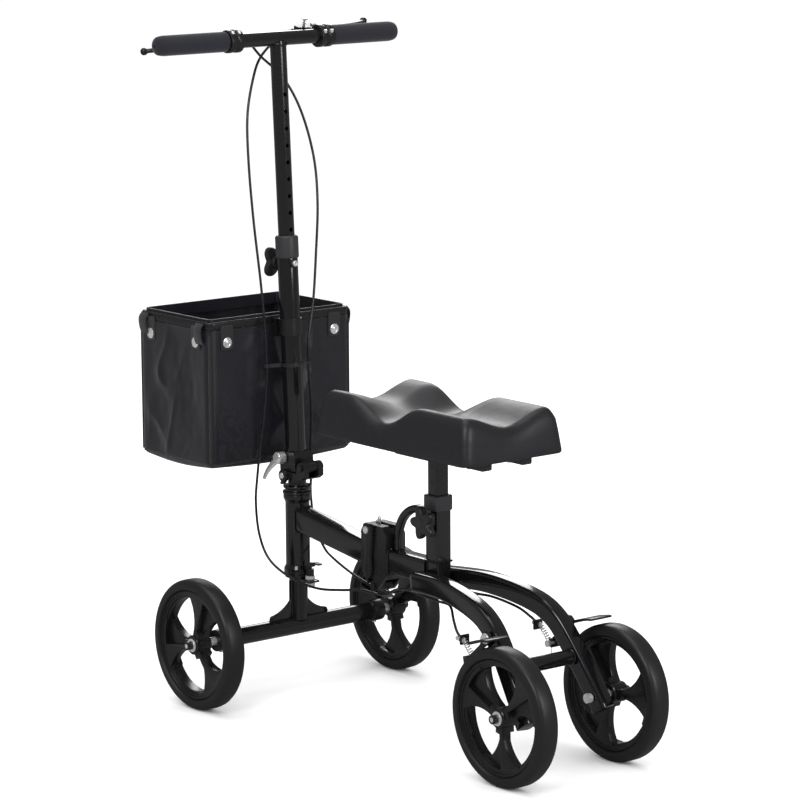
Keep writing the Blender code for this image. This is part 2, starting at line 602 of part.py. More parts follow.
# ---- steering -----------------------------------------------------------------------------------
def build_steering(steer, lock):
    at = (WHEELBASE, 0, 0)
    top = FOOT_Z - GAP
    low = WHEEL_R + 5 * MM
    steerer = add("steerer_tube", rod("Z", at, STEERER_R, low, top, 20), BLACK_PAINT, steer)
    crown_top = HEAD_BOTTOM - CUP_H - GAP
    join_on(steerer, rod("Z", at, CUP_R - 1.5 * MM, crown_top - 7 * MM, crown_top, 20))
    foot = HEAD_TOP + CUP_H + GAP
    nut = [(CUP_R + 1 * MM, foot), (CUP_R + 1 * MM, foot + 4 * MM), (CUP_R - 3 * MM, foot + 5 * MM),
           (CUP_R - 3 * MM, foot + 8 * MM), (CUP_R, foot + 9 * MM), (CUP_R, foot + 13 * MM)]
    join_on(steerer, turned(nut, "Z", at, 20))

    half = AXLE_TUBE_L / 2
    base = WHEEL_R + AXLE_TUBE_R + GAP
    for side in (1, -1):
        sweep_r = GUSSET_TOP - base - 2 * MM
        hollow = arc((GUSSET_REACH + 6 * MM, GUSSET_TOP + 4 * MM), sweep_r, 197, 262, 6)
        outline = [(0, base), (0, GUSSET_TOP)] + hollow + [(GUSSET_REACH, base + 3 * MM), (GUSSET_REACH, base)]
        join_on(steerer, prism([(side * u, v) for u, v in outline], "X", WHEELBASE - GUSSET_T / 2,
                               WHEELBASE + GUSSET_T / 2))

    x, z = LOCK_PLATE
    join_on(steerer, box((x - 11 * MM, -10 * MM, z), (WHEELBASE - STEERER_R + 1 * MM, 10 * MM, z + 3.5 * MM)))
    body = [(7.5 * MM, z - 6.5 * MM), (7.5 * MM, z + 10 * MM), (6 * MM, z + 10.5 * MM), (6 * MM, z + 21 * MM)]
    join_on(steerer, turned(body, "Z", (x, 0, 0), 16))
    carve(steerer, rod("Z", (x, 0, 0), STUD_R + GAP, z - 20 * MM, z + 40 * MM, 14))
    carve(steerer, rod("Z", at, STEERER_R - STEERER_WALL, low - 20 * MM, top + 20 * MM, 20))
    carve(steerer, rod("Y", (WHEELBASE, 0, WHEEL_R), AXLE_TUBE_R + GAP, -0.1, 0.1, 20))
    pin = add("lock_plunger", rod("Z", (x, 0, 0), STUD_R, z - 9 * MM, z + 31 * MM, 14), BLACK_CAST, lock)
    hook = [(x + 2 * MM, z + 25 * MM), (x + 2 * MM, z + 30 * MM), (x - 12 * MM, z + 34 * MM),
            (x - 26 * MM, z + 33 * MM), (x - 26 * MM, z + 30.5 * MM), (x - 12 * MM, z + 31 * MM),
            (x - 7 * MM, z + 25 * MM)]
    join_on(pin, side_plate(hook, -4 * MM, 4 * MM))

    inner, end = half - AXLE_BLOCK_W + 4 * MM, half + 4 * MM
    block = [(AXLE_TUBE_R, inner), (AXLE_BLOCK_R, inner), (AXLE_BLOCK_R, end), (AXLE_R + GAP, end),
             (AXLE_R + GAP, half), (AXLE_TUBE_R - AXLE_TUBE_WALL, half)]
    profile = block + [(r, -h) for r, h in block[::-1]]
    add("front_axle_tube", turned(profile, "Y", (WHEELBASE, 0, WHEEL_R), 20, True), BLACK_PAINT, steer)


# ---- column -------------------------------------------------------------------------------------
COLUMN_FRAME = Matrix.Translation((WHEELBASE, 0, FOOT_Z)) @ Matrix.Rotation(LEAN, 4, "Y")
CLIP_AT = 176.0 * MM
BRACKET_AT = 222.0 * MM
LOCK_AT = 334.0 * MM
FOLD_BASE_T = 9.0 * MM
EAR_Y = 9.0 * MM                # half width of the middle knuckle at the stem fold
KNUCKLE_Y = COLUMN_R + 2.1 * MM     # half width of the upper half of the stem fold
CAM_AT = (8.0 * MM, 0.0, 31.0 * MM)
CATCH_AT = (5.0 * MM, 0.0, 3.0 * MM)


def build_fold_base(steer):
    """The lower half of the stem fold, clamped on the steerer."""
    hx, hz = COLUMN_HINGE
    outline = [(18 * MM, 0), (18 * MM, FOLD_BASE_T), (hx + 12 * MM, FOLD_BASE_T)]
    outline += arc((hx, hz), KNUCKLE_R, 20, 180, 6)
    outline += [(hx - 9 * MM, 6 * MM), (hx, 0)]
    base = add("fold_base", side_plate(outline, -19 * MM, 19 * MM), BLACK_CAST, steer,
               Matrix.Translation((WHEELBASE, 0, FOOT_Z)))
    carve(base, box((hx - 20 * MM, -EAR_Y - GAP, 3 * MM), (hx + 14 * MM, EAR_Y + GAP, 40 * MM)))
    join_on(base, turned([(5.5 * MM, -22 * MM), (5.5 * MM, -18 * MM), (PIN_R, -18 * MM), (PIN_R, 18 * MM),
                          (5.5 * MM, 18 * MM), (5.5 * MM, 22 * MM)], "Y", (hx, 0, hz), 16))


def build_column(column):
    hinge = COLUMN_FRAME.inverted() @ Vector((WHEELBASE + COLUMN_HINGE[0], 0, FOOT_Z + COLUMN_HINGE[1]))
    hx, hz = hinge.x, hinge.z
    rise = FOLD_BASE_T + GAP + 19 * MM * sin(LEAN)
    outline = [(19 * MM, rise), (19 * MM, 26 * MM), (16.5 * MM, 40 * MM), (-16.5 * MM, 40 * MM),
               (-22 * MM, 31 * MM), (hx + 2 * MM, hz + 9.5 * MM)]
    outline += arc((hx, hz), KNUCKLE_R - 1 * MM, 110, 290, 6)
    outline += [(hx + 12 * MM, rise)]
    knuckle = add("fold_knuckle", side_plate(outline, -KNUCKLE_Y, KNUCKLE_Y), BLACK_CAST, column,
                  COLUMN_FRAME)
    for low, high in ((-0.03, -EAR_Y), (EAR_Y, 0.03)):
        carve(knuckle, box((hx - 20 * MM, low, 0), (hx + 15 * MM, high, 60 * MM)))
    carve(knuckle, rod("Z", (0, 0, 0), COLUMN_R + GAP, COLUMN_START - GAP, 0.1, 28))
    carve(knuckle, rod("Y", hinge, PIN_R + GAP, -0.05, 0.05, 16))
    carve(knuckle, rod("Y", CAM_AT, STUD_R + GAP, -0.05, 0.05, 14))
    tube = add("column_tube", pipe("Z", (0, 0, 0), COLUMN_R, COLUMN_R - COLUMN_WALL, COLUMN_START, COLUMN_END, 22),
               BLACK_PAINT, column, COLUMN_FRAME)
    wall = COLUMN_R - COLUMN_WALL
    join_on(tube, turned([(STUD_R, -wall - 0.8 * MM), (STUD_R, -COLUMN_R), (6.2 * MM, 0.4 * MM - COLUMN_R),
                          (6.2 * MM, -COLUMN_R - 5 * MM), (5.4 * MM, -COLUMN_R - 6 * MM)], "X", (0, 0, LOCK_AT), 16))
    carve(tube, rod("X", (0, 0, LOCK_AT), STUD_R + GAP, 0, 0.05, 14))
    low = COLUMN_END - 10 * MM
    bush = [(COLUMN_R + 1 * MM, low), (BUSH_R, low + 2 * MM), (BUSH_R, BUSH_TOP - 2 * MM),
            (BUSH_R - 2 * MM, BUSH_TOP), (STEM_R + SLIDE, BUSH_TOP), (STEM_R + SLIDE, COLUMN_END + GAP),
            (COLUMN_R + GAP, COLUMN_END + GAP), (COLUMN_R + GAP, low)]
    add("column_bush", turned(bush, "Z", segments=22, hollow=True), GREY_PLASTIC, column, COLUMN_FRAME)

    low, high = CLIP_AT - 3 * MM, CLIP_AT + 3 * MM
    clip = add("cable_clip", rod("Z", (0, 0, 0), COLUMN_R + 2.5 * MM, low, high, 20), KNOB_PLASTIC, column,
               COLUMN_FRAME)
    for x, y in CLIP_LOOPS:
        arm = box((0, -2.5 * MM, low), (sqrt(x * x + y * y), 2.5 * MM, high))
        arm.transform(Matrix.Rotation(atan2(y, x), 4, "Z"))
        join_on(clip, arm)
        join_on(clip, rod("Z", (x, y, 0), CABLE_R + 2.5 * MM, low, high, 16))
    for x, y in CLIP_LOOPS:
        carve(clip, rod("Z", (x, y, 0), CABLE_R + 3 * GAP, low - 9 * MM, high + 9 * MM, 14))
    carve(clip, rod("Z", (0, 0, 0), COLUMN_R + GAP, low - 9 * MM, high + 9 * MM, 20))

    low, high = BRACKET_AT, BRACKET_AT + 26 * MM
    bracket = add("basket_bracket", rod("Z", (0, 0, 0), COLUMN_R + 2.2 * MM, low, high, 20), BLACK_CAST, column,
                  COLUMN_FRAME)
    join_on(bracket, box((COLUMN_R, -17 * MM, low), (COLUMN_R + 4.6 * MM, 17 * MM, high)))
    carve(bracket, rod("Z", (0, 0, 0), COLUMN_R + GAP, low - 9 * MM, high + 9 * MM, 20))


CLIP_LOOPS = ((15 * MM, 38 * MM), (-6 * MM, -27 * MM))


def lobed(radius, depth, lobes, steps=5):
    """Outline of a knob with round lobes."""
    count = lobes * steps
    turns = [2 * pi * i / count for i in range(count)]
    return [((radius - depth * (0.5 - 0.5 * cos(lobes * t))) * cos(t),
             (radius - depth * (0.5 - 0.5 * cos(lobes * t))) * sin(t)) for t in turns]


def knob_mesh(radius, depth, lobes, height, stud):
    """A lobed knob along Z: its boss stands on zero and its stud reaches stud below that."""
    boss, edge = radius * 0.42, 2.2 * MM
    crown = lobed(radius, depth, lobes)

    def scaled(share, z):
        return [Vector((a * share, b * share, z)) for a, b in crown]

    count = len(crown)
    turns = [2 * pi * i / count for i in range(count)]

    def circle(r, z):
        return [Vector((r * cos(t), r * sin(t), z)) for t in turns]

    return loft([circle(STUD_R, -stud), circle(STUD_R, 0), circle(boss, 0), circle(boss, height * 0.42),
                 scaled(0.9, height * 0.42), scaled(1.0, height * 0.42 + edge), scaled(1.0, height - edge),
                 scaled(0.86, height), scaled(0.3, height + 0.8 * MM)], "knob")


def build_knobs(column_knob, seat_knob):
    stand = 6 * MM
    out = COLUMN_FRAME @ Matrix.Translation((COLUMN_R + stand, 0, LOCK_AT)) @ Matrix.Rotation(pi / 2, 4, "Y")
    turn = Matrix.Rotation(radians(35), 4, "Z")
    knob = knob_mesh(25 * MM, 12 * MM, 3, 19 * MM, stand + COLUMN_WALL - SLIDE)
    add("column_knob", knob, KNOB_PLASTIC, column_knob, out @ turn)
    at = Matrix.Translation((SEAT_X, SEAT_TUBE_W / 2 + GAP, SEAT_KNOB_Z)) @ Matrix.Rotation(-pi / 2, 4, "X")
    knob = knob_mesh(26 * MM, 10 * MM, 5, 21 * MM, SQUARE_WALL)
    add("seat_knob", knob, KNOB_PLASTIC, seat_knob, at)


def build_fold_lever(cam, catch):
    """Quick-release lever on the left of the stem fold, with the safety catch under it."""
    y = KNUCKLE_Y + GAP
    x, _, z = CAM_AT
    lever = add("fold_lever", rod("Y", CAM_AT, 9.5 * MM, y, y + 15 * MM, 20), CHROME, cam, COLUMN_FRAME)
    blade = [Vector((x, y + 8 * MM, z)), Vector((x + 6 * MM, y + 13 * MM, z - 6 * MM)),
             Vector((x + 11 * MM, y + 20 * MM, z - 15 * MM)), Vector((x + 14 * MM, y + 26 * MM, z - 25 * MM)),
             Vector((x + 15 * MM, y + 29 * MM, z - 32 * MM))]
    join_on(lever, sweep(rounded(5 * MM, 11 * MM, 2 * MM, 1), smooth_route(blade, 8 * MM),
                         Vector((0.35, 0.94, 0))))
    join_on(lever, turned([(STUD_R, y + 1 * MM), (STUD_R, -y), (7 * MM, -y), (7 * MM, -y - 6 * MM)], "Y", CAM_AT, 16))
    cx, _, cz = CATCH_AT
    tail = [(-6, -6), (5, -7), (9, -13), (7, -15.5), (2, -14.5), (-3, -11)]
    tab = add("fold_catch", rod("Y", CATCH_AT, 9.5 * MM, y + 1 * MM, 26 * MM, 20), KNOB_PLASTIC, catch,
              Matrix.Translation((WHEELBASE, 0, FOOT_Z)))
    join_on(tab, side_plate([(cx + a * MM, cz + b * MM) for a, b in tail], y + 1 * MM, 23.5 * MM))
    join_on(tab, turned([(5 * MM, 25 * MM), (5 * MM, 27.5 * MM), (3.6 * MM, 28.8 * MM)], "Y", CATCH_AT, 14))


# ---- stem and handlebar -------------------------------------------------------------------------
def build_stem(stem):
    """Stem and handlebar are welded into one T; the grips are pushed on."""
    bar = add("handlebar", pipe("Z", (0, 0, 0), STEM_R, STEM_R - STEM_WALL, STEM_START, BAR_AT - 4 * MM, 18),
              BLACK_PAINT, stem, COLUMN_FRAME)
    join_on(bar, pipe("Y", (0, 0, BAR_AT), BAR_R, BAR_R - 1.8 * MM, -BAR_L / 2, BAR_L / 2, 18))
    for k in range(STEM_HOLES):
        carve(bar, rod("X", (0, 0, LOCK_AT + k * STEM_HOLE_PITCH), STEM_HOLE_R, -0.05, 0, 8))
    for side, word in ((1, "left"), (-1, "right")):
        end = BAR_L / 2 + 4 * MM
        inner = end - GRIP_L
        hole = BAR_R + GAP
        profile = [(GRIP_R - 0.7 * MM, inner), (GRIP_R, inner + 1 * MM), (GRIP_R, end - 11 * MM),
                   (GRIP_R * 0.86, end - 5 * MM), (GRIP_R * 0.5, end - 0.8 * MM), (2 * MM, end), (2 * MM, end - 3 * MM),
                   (hole, end - 3 * MM), (hole, inner)]
        add("grip_" + word, turned([(r, side * h) for r, h in profile], "Y", (0, 0, BAR_AT), 18, True),
            GRIP_FOAM, stem, COLUMN_FRAME)


def lever_frame(side):
    """A frame at the bar's centre line beside the grip, turned round the bar as the lever is set."""
    word = "left" if side > 0 else "right"
    y = side * (BAR_L / 2 + 4 * MM - GRIP_L - 1.5 * MM)
    turn = Matrix.Rotation(-radians(LEVER_TURN[word]), 4, "Y")
    return COLUMN_FRAME @ Matrix.Translation((0, y, BAR_AT)) @ turn


PIVOT = (31.0 * MM, -9.0 * MM)         # lever pivot ahead of the bar and inboard of the clamp's outer face
PARK_AT = (27.0 * MM, -30.0 * MM)
CABLE_AHEAD = 27.5 * MM


def build_levers(stem, spins, parks):
    for side, word in ((1, "left"), (-1, "right")):
        frame = lever_frame(side)

        def flip(points):
            return [(x * MM, side * y * MM) for x, y in points]

        pivot = (PIVOT[0], side * PIVOT[1], 0)
        park = (PARK_AT[0], side * PARK_AT[1], 0)
        ends = sorted((0, -side * PERCH_W))
        perch = add("lever_perch_" + word, rod("Y", (0, 0, 0), BAR_R + 5 * MM, ends[0], ends[1], 18), BLACK_CAST,
                    stem, frame)
        join_on(perch, prism(flip([(8, -0.5), (35, -1), (39, -8), (38, -15), (33, -44), (22, -44), (19, -23.5),
                                   (8, -23.5)]), "Z", -8 * MM, 8 * MM))
        carve(perch, prism(flip([(22.5, 5), (45, 5), (45, -24), (22.5, -24)]), "Z", -3.6 * MM, 3.6 * MM))
        carve(perch, rod("Y", (0, 0, 0), BAR_R + GAP, -0.1, 0.1, 18))
        join_on(perch, turned([(4.2 * MM, -10.5 * MM), (4.2 * MM, -7.5 * MM), (2.5 * MM, -7.5 * MM),
                               (2.5 * MM, 7.5 * MM), (4.2 * MM, 7.5 * MM), (4.2 * MM, 10.5 * MM)], "Z", pivot, 10))
        barrel = [(4.5 * MM, -42 * MM), (4.5 * MM, -51 * MM), (3.3 * MM, -51.5 * MM), (3.3 * MM, -58 * MM),
                  (2.4 * MM, -60 * MM)]
        join_on(perch, turned([(r, side * h) for r, h in barrel], "Y", (CABLE_AHEAD, 0, 0), 10))
        carve(perch, rod("Z", park, 2 * MM + GAP, -0.02, 0.02, 12))
        spine = [(29, -16), (31, -4), (34, 10), (36, 35), (38, 62), (44, 88), (50, 103), (57, 112)]
        route = smooth_route([Vector((x, y, 0)) for x, y in flip(spine)], 12 * MM)
        lever = add("brake_lever_" + word, sweep(rounded(6.4 * MM, 9 * MM, 2.2 * MM, 1), route, Vector((0, 0, 1))),
                    BLACK_CAST, spins[word], frame)
        join_on(lever, turned([(2.5 * MM, -6 * MM), (5.5 * MM, -4 * MM), (5.5 * MM, 4 * MM), (2.5 * MM, 6 * MM)], "Z",
                              route[-1], 14))
        carve(lever, rod("Z", pivot, 2.5 * MM + GAP, -0.02, 0.02, 14))
        pin = [(2, -7), (2, 12.5), (3.2, 12.5), (3.2, 14.5), (2, 14.5), (2, 18), (5, 19), (5, 21)]
        add("parking_pin_" + word, turned([(r * MM, h * MM) for r, h in pin], "Z", park, 10), STEEL, parks[word],
            frame)


# ---- basket -------------------------------------------------------------------------------------
def build_basket(basket):
    mid = (BASKET_X[0] + BASKET_X[1]) / 2
    length = BASKET_X[1] - BASKET_X[0]

    def ring(inset, z):
        points = rounded(length - 2 * inset, BASKET_W - 2 * inset, max(1.5 * MM, 12 * MM - inset), 2)
        return [Vector((mid + a, b, z)) for a, b in points]

    low, high = BASKET_Z
    step = BASKET_RIM_Z - BASKET_RIM_H - GAP
    under = BASKET_RIM_T + GAP
    skin_t = BASKET_SKIN
    rings = [ring(11 * MM, low), ring(3.5 * MM, low + 5 * MM), ring(0, low + 16 * MM), ring(0, step),
             ring(under, step), ring(under, high), ring(under + skin_t, high),
             ring(under + skin_t, step - skin_t), ring(skin_t, step - skin_t), ring(skin_t, low + 16 * MM),
             ring(3.5 * MM + skin_t, low + 5 * MM + skin_t), ring(11 * MM + skin_t, low + skin_t)]
    add("basket_bag", loft(rings, "bag"), NYLON, basket)
    rim_low, rim_high = BASKET_RIM_Z - BASKET_RIM_H, BASKET_RIM_Z
    rim = [ring(0, rim_low), ring(0, rim_high), ring(BASKET_RIM_T, rim_high), ring(BASKET_RIM_T, rim_low)]
    band = add("basket_rim", loft(rim, "rim", True), BLACK_CAST, basket)
    join_on(band, box((BASKET_X[0] - 3.3 * MM, -15 * MM, rim_low - 20 * MM),
                      (BASKET_X[0] - GAP, 15 * MM, rim_high - 2 * MM)))
    join_on(band, box((BASKET_X[0] - 2 * MM, -14 * MM, rim_low + 1 * MM),
                      (BASKET_X[0] + 2 * MM, 14 * MM, rim_high - 3 * MM)))


# ---- seat ---------------------------------------------------------------------------------------
def pad_top(share_x, share_y):
    """Height lost from the crown, 0 to 1: a trough along the middle and a saddle across it."""
    saddle = (PAD_SADDLE_X - PAD_X[0]) / (PAD_X[1] - PAD_X[0])
    across = max(0.0, 1 - abs(share_x - saddle) / PAD_SADDLE_REACH)
    across = across * across * (3 - 2 * across)
    trough = max(0.0, 1 - abs(share_y) / PAD_TROUGH_REACH)
    trough = trough * trough * (3 - 2 * trough)
    return 1 - (1 - 0.8 * across) * (1 - 0.52 * trough)


def pad_plan(u, v, inset):
    """A point of the pad's rounded outline in plan, from u and v of -1 to 1 along and across it."""
    half_x, half_y = (PAD_X[1] - PAD_X[0]) / 2 - inset, PAD_W / 2 - inset
    x, y = u * half_x, v * half_y
    over_x, over_y = abs(x) - (half_x - PAD_CORNER), abs(y) - (half_y - PAD_CORNER)
    if over_x > 0 and over_y > 0:
        scale = max(over_x, over_y) / hypot(over_x, over_y)
        x = (half_x - PAD_CORNER + over_x * scale) * (1 if x > 0 else -1)
        y = (half_y - PAD_CORNER + over_y * scale) * (1 if y > 0 else -1)
    return (PAD_X[0] + PAD_X[1]) / 2 + x, y


def pad_mesh():
    """A crowned pad with four raised corners, flat underneath."""
    cols, rows = 18, 12
    bm = bmesh.new()
    length = PAD_X[1] - PAD_X[0]
    top, bottom = [], []
    for i in range(cols + 1):
        u = i / cols
        line_t, line_b = [], []
        for j in range(rows + 1):
            v = 2 * j / rows - 1
            edge_u = min(u, 1 - u) * length
            edge_v = (1 - abs(v)) * PAD_W / 2
            near = min(edge_u, edge_v)
            roll = 9 * MM * max(0.0, 1 - near / (16 * MM)) ** 2
            x, y = pad_plan(2 * u - 1, v, PAD_TAPER)
            z = PAD_Z[1] - PAD_DIP * pad_top(u, v) - roll
            line_t.append(bm.verts.new((x, y, z)))
            line_b.append(bm.verts.new((*pad_plan(2 * u - 1, v, 0), PAD_Z[0])))
        top.append(line_t)
        bottom.append(line_b)
    for i in range(cols):
        for j in range(rows):
            bm.faces.new((top[i][j], top[i + 1][j], top[i + 1][j + 1], top[i][j + 1]))
    edge = [(i, 0) for i in range(cols)] + [(cols, j) for j in range(rows)]
    edge += [(i, rows) for i in range(cols, 0, -1)] + [(0, j) for j in range(rows, 0, -1)]
    for (a, b), (c, d) in zip(edge, edge[1:] + edge[:1]):
        bm.faces.new((bottom[a][b], bottom[c][d], top[c][d], top[a][b]))
    bm.faces.new([bottom[a][b] for a, b in edge])
    loose = [v for v in bm.verts if not v.link_faces]
    bmesh.ops.delete(bm, geom=loose, context="VERTS")
    return finish(bm, "pad")


def build_seat(seat):
    add("knee_pad", pad_mesh(), PAD_SKIN, seat)
    rail_top = PAD_Z[0] - GAP
    rail_low = rail_top - RAIL_H
    plate_top = rail_low + 1 * MM
    reach = RAIL_Y + RAIL_W / 2 - 1 * MM
    profile = rounded(SEAT_POST_W, SEAT_POST_W, 2.2 * MM, 1)
    post = add("seat_post", box((SEAT_X - 45 * MM, -reach, plate_top - PLATE_T), (SEAT_X + 45 * MM, reach, plate_top)),
               BLACK_PAINT, seat)
    for side in (1, -1):
        join_on(post, box((RAIL_X[0], side * RAIL_Y - RAIL_W / 2, rail_low),
                          (RAIL_X[1], side * RAIL_Y + RAIL_W / 2, rail_top)))
    upright = [Vector((SEAT_X, 0, POST_BOTTOM)), Vector((SEAT_X, 0, plate_top - 2 * MM))]
    join_on(post, sweep(profile, upright, Vector((0, 1, 0))))
    inside = SEAT_POST_W / 2 - SQUARE_WALL
    carve(post, box((SEAT_X - inside, -inside, POST_BOTTOM - 5 * MM), (SEAT_X + inside, inside, plate_top - PLATE_T)))
    for k in range(5):
        z = SEAT_KNOB_Z + (k - 2) * 25 * MM + 8 * MM
        carve(post, rod("Y", (SEAT_X, 0, z), 3.4 * MM, -0.05, 0.05, 12))


# ---- rear brakes --------------------------------------------------------------------------------
def build_brakes(arms):
    """Each arm turns on a bolt through its leg: a shoe over the tyre and a tail that the wire pulls."""
    px, pz = BRAKE_PIVOT

    def about(points):
        return [(px + x * MM, pz + z * MM) for x, z in points]

    outside = leg_y(px) + LEG_W / 2 + 4.0 * MM
    inside = leg_y(px + 8 * MM) - 0.51 * LEG_W - 2 * GAP
    for side, word in ((1, "left"), (-1, "right")):

        def span(low, high):
            return sorted((side * low, side * high))

        cheek = about([(10, -6), (9, 4), (2, 10), (-9, 8), (-10, -1), (-5, -8), (26, -43), (34, -43), (36, -15)])
        arm = add("brake_arm_" + word, side_plate(cheek, *span(outside, outside + 3.5 * MM)), BLACK_CAST, arms[word])
        shoe = about([(-6, -2), (-6, 3), (-46, 13), (-49, 16.5), (-51, 15), (-48, 9.5)])
        join_on(arm, side_plate(shoe, *span(outside + 1 * MM, REAR_TRACK / 2 + 15 * MM)))
        tail = about([(31, -43), (34.5, -43), (36.5, -15), (33, -15)])
        join_on(arm, side_plate(tail, *span(outside - 6 * MM, outside + 17 * MM)))
        bolt = [(6 * MM, inside - 4 * MM), (6.5 * MM, inside - 3 * MM), (6.5 * MM, inside), (PIN_R, inside),
                (PIN_R, outside + 3 * MM), (5.5 * MM, outside + 3 * MM), (5.5 * MM, outside + 7 * MM)]
        join_on(arm, turned([(r, side * h) for r, h in bolt], "Y", (px, 0, pz), 16))


# ---- cables -------------------------------------------------------------------------------------
CLAMP_Y = {"a": 12.5, "b": -10.0}

# Hand-laid runs from each lever down to the frame clamp, in millimetres; z falls all the way.
CABLE_RUNS = {
    "a": [(687, -36.6, 1025), (693, -22, 1015), (702, 2, 988), (706, 14, 955), (700, 30, 900), (688, 38, 830),
          (673, 41, 740), (657, 40, 640), (649, 38.5, 560), (648, 38, 530), (647.5, 38, 516), (646.8, 38, 502),
          (650, 42, 440), (654, 48, 385), (657, 52, 340), (659, 54, 300), (651, 54, 250), (630, 50, 212),
          (590, 38, 188), (540, 26, 179), (490, 18, 184), (450, 14, 191), (425, 12.5, 192), (408, 12.5, 191.5)],
    "b": [(687.5, 37.2, 1013), (696, 22, 1006), (709, -4, 988), (706, -45, 952), (692, -68, 900), (673, -77, 830),
          (655, -70, 760), (645, -58, 680), (636, -45, 610), (629, -30, 556), (627, -27, 530), (626.5, -27, 516),
          (626, -27.2, 501), (632, -36, 440), (648, -46, 375), (653, -50, 330), (654, -50, 300), (640, -46, 256),
          (600, -34, 225), (560, -24, 214), (500, -14, 202), (450, -10, 194), (425, -10, 192),
          (408, -10, 191.5)],
}
CABLE_BREAKS = (528.0 * MM, 322.0 * MM, 0.0)   # heights where a run passes to the next body


def cable_pieces(run):
    """The run cut where it passes from one body to the next, with a small gap at each cut."""
    spare = WHEELBASE - 623 * MM
    reach = [Vector((x * MM + spare * min(1.0, max(0.0, (x - 408) / 195)), y * MM, z * MM)) for x, y, z in run]
    route = smooth_route(reach, 15 * MM)
    pieces, start = [], 0
    for height in CABLE_BREAKS:
        end = next((i for i, p in enumerate(route) if p.z < height), len(route) - 1)
        pieces.append(route[start:end + 1])
        start = end
    for piece, after in zip(pieces, pieces[1:]):
        after[0] = after[0] + (after[1] - after[0]).normalized() * GAP
        piece[-1] = Vector(piece[-1])
    return pieces


def rear_run(name):
    """From the clamp, along under the beam and the leg's lower face, to the stop before the brake arm."""
    side = 1 if name == "a" else -1
    stop = cable_stop(side)
    under = LEG_TOP_Z - LEG_H / 2 - 5 * MM
    start = Vector((FOLD_AT[0] - 6 * GAP, CLAMP_Y[name] * MM, 191.5 * MM))
    run = [start, start + Vector((-22 * MM, side * 1 * MM, 4 * MM)), Vector((352 * MM, side * 18 * MM, 210 * MM))]
    run += [Vector((x * MM, side * leg_y(x * MM), under)) for x in (310, 270, 230, 198)]
    run += [stop + Vector((34 * MM, side * -12 * MM, 21 * MM)), stop + Vector((16 * MM, side * -3 * MM, 9 * MM)),
            stop + Vector((1.2 * MM, 0, 0))]
    return smooth_route(run, 15 * MM)


def build_cables(bodies):
    """Each brake cable in four pieces, one per body that carries it."""
    for name, run in CABLE_RUNS.items():
        for word, under, piece in zip(("upper", "middle", "lower"), bodies, cable_pieces(run)):
            cable("cable_" + name + "_" + word, piece, under)
        cable("cable_" + name + "_rear", rear_run(name))


# ---- assembly -----------------------------------------------------------------------------------
def build():
    x, z = FOLD_AT
    fold = axis_empty("frame_fold", (x, 0, z))
    latch = axis_empty("latch_turn", (x + 9 * MM, 0, CLAMP_TOP - 8 * MM))
    steer = axis_empty("steering", (WHEELBASE, 0, 0))
    lock = axis_empty("lock_slide", (LOCK_PLATE[0], 0, LOCK_PLATE[1]))
    column = axis_empty("column_fold", (WHEELBASE + COLUMN_HINGE[0], 0, FOOT_Z + COLUMN_HINGE[1]))
    stem = axis_empty("stem_slide", COLUMN_FRAME @ Vector((0, 0, LOCK_AT)))
    cam = axis_empty("cam_turn", COLUMN_FRAME @ Vector(CAM_AT))
    catch = axis_empty("catch_turn", Vector(CATCH_AT) + Vector((WHEELBASE, 20 * MM, FOOT_Z)))
    column_knob = axis_empty("column_knob_turn", COLUMN_FRAME @ Vector((COLUMN_R, 0, LOCK_AT)))
    seat_knob = axis_empty("seat_knob_turn", (SEAT_X, SEAT_TUBE_W / 2, SEAT_KNOB_Z))
    basket = axis_empty("basket_lift", (BASKET_X[0], 0, BASKET_RIM_Z))
    seat = axis_empty("seat_slide", (SEAT_X, 0, COLLAR_TOP))
    spins, parks, arms = {}, {}, {}
    for side, word in ((1, "left"), (-1, "right")):
        frame = lever_frame(side)
        spins[word] = axis_empty("lever_spin_" + word, frame @ Vector((PIVOT[0], side * PIVOT[1], 0)))
        parks[word] = axis_empty("park_" + word, frame @ Vector((PARK_AT[0], side * PARK_AT[1], 0)))
        arms[word] = axis_empty("brake_spin_" + word, (BRAKE_PIVOT[0], 0, BRAKE_PIVOT[1]))
    build_rear_frame()
    build_front_frame(fold, latch)
    build_steering(steer, lock)
    build_fold_base(steer)
    build_column(column)
    build_fold_lever(cam, catch)
    build_knobs(column_knob, seat_knob)
    build_stem(stem)
    build_levers(stem, spins, parks)
    build_basket(basket)
    build_seat(seat)
    build_brakes(arms)
    build_wheels()
    nut_face = leg_y(8 * MM) - 0.51 * LEG_W - 2 * GAP - REAR_TRACK / 2
    leg_face = leg_y(-8 * MM) + 0.51 * LEG_W + GAP - REAR_TRACK / 2
    block_face = AXLE_TUBE_L / 2 + 4 * MM + GAP - FRONT_TRACK / 2
    for corner in ("rl", "rr"):
        axle_bolt(corner, nut_face, leg_face, True)
    for corner in ("fl", "fr"):
        axle_bolt(corner, block_face - 17 * MM, block_face, False)
    build_cables((stem, column, steer))


build()
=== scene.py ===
"""Looks for the knee scooter: smooth pieces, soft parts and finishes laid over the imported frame."""
import json
import logging
import math
from dataclasses import dataclass
from enum import Enum
from typing import Callable, Iterable, Sequence

import bmesh
import bpy
from mathutils import Matrix, Vector, noise

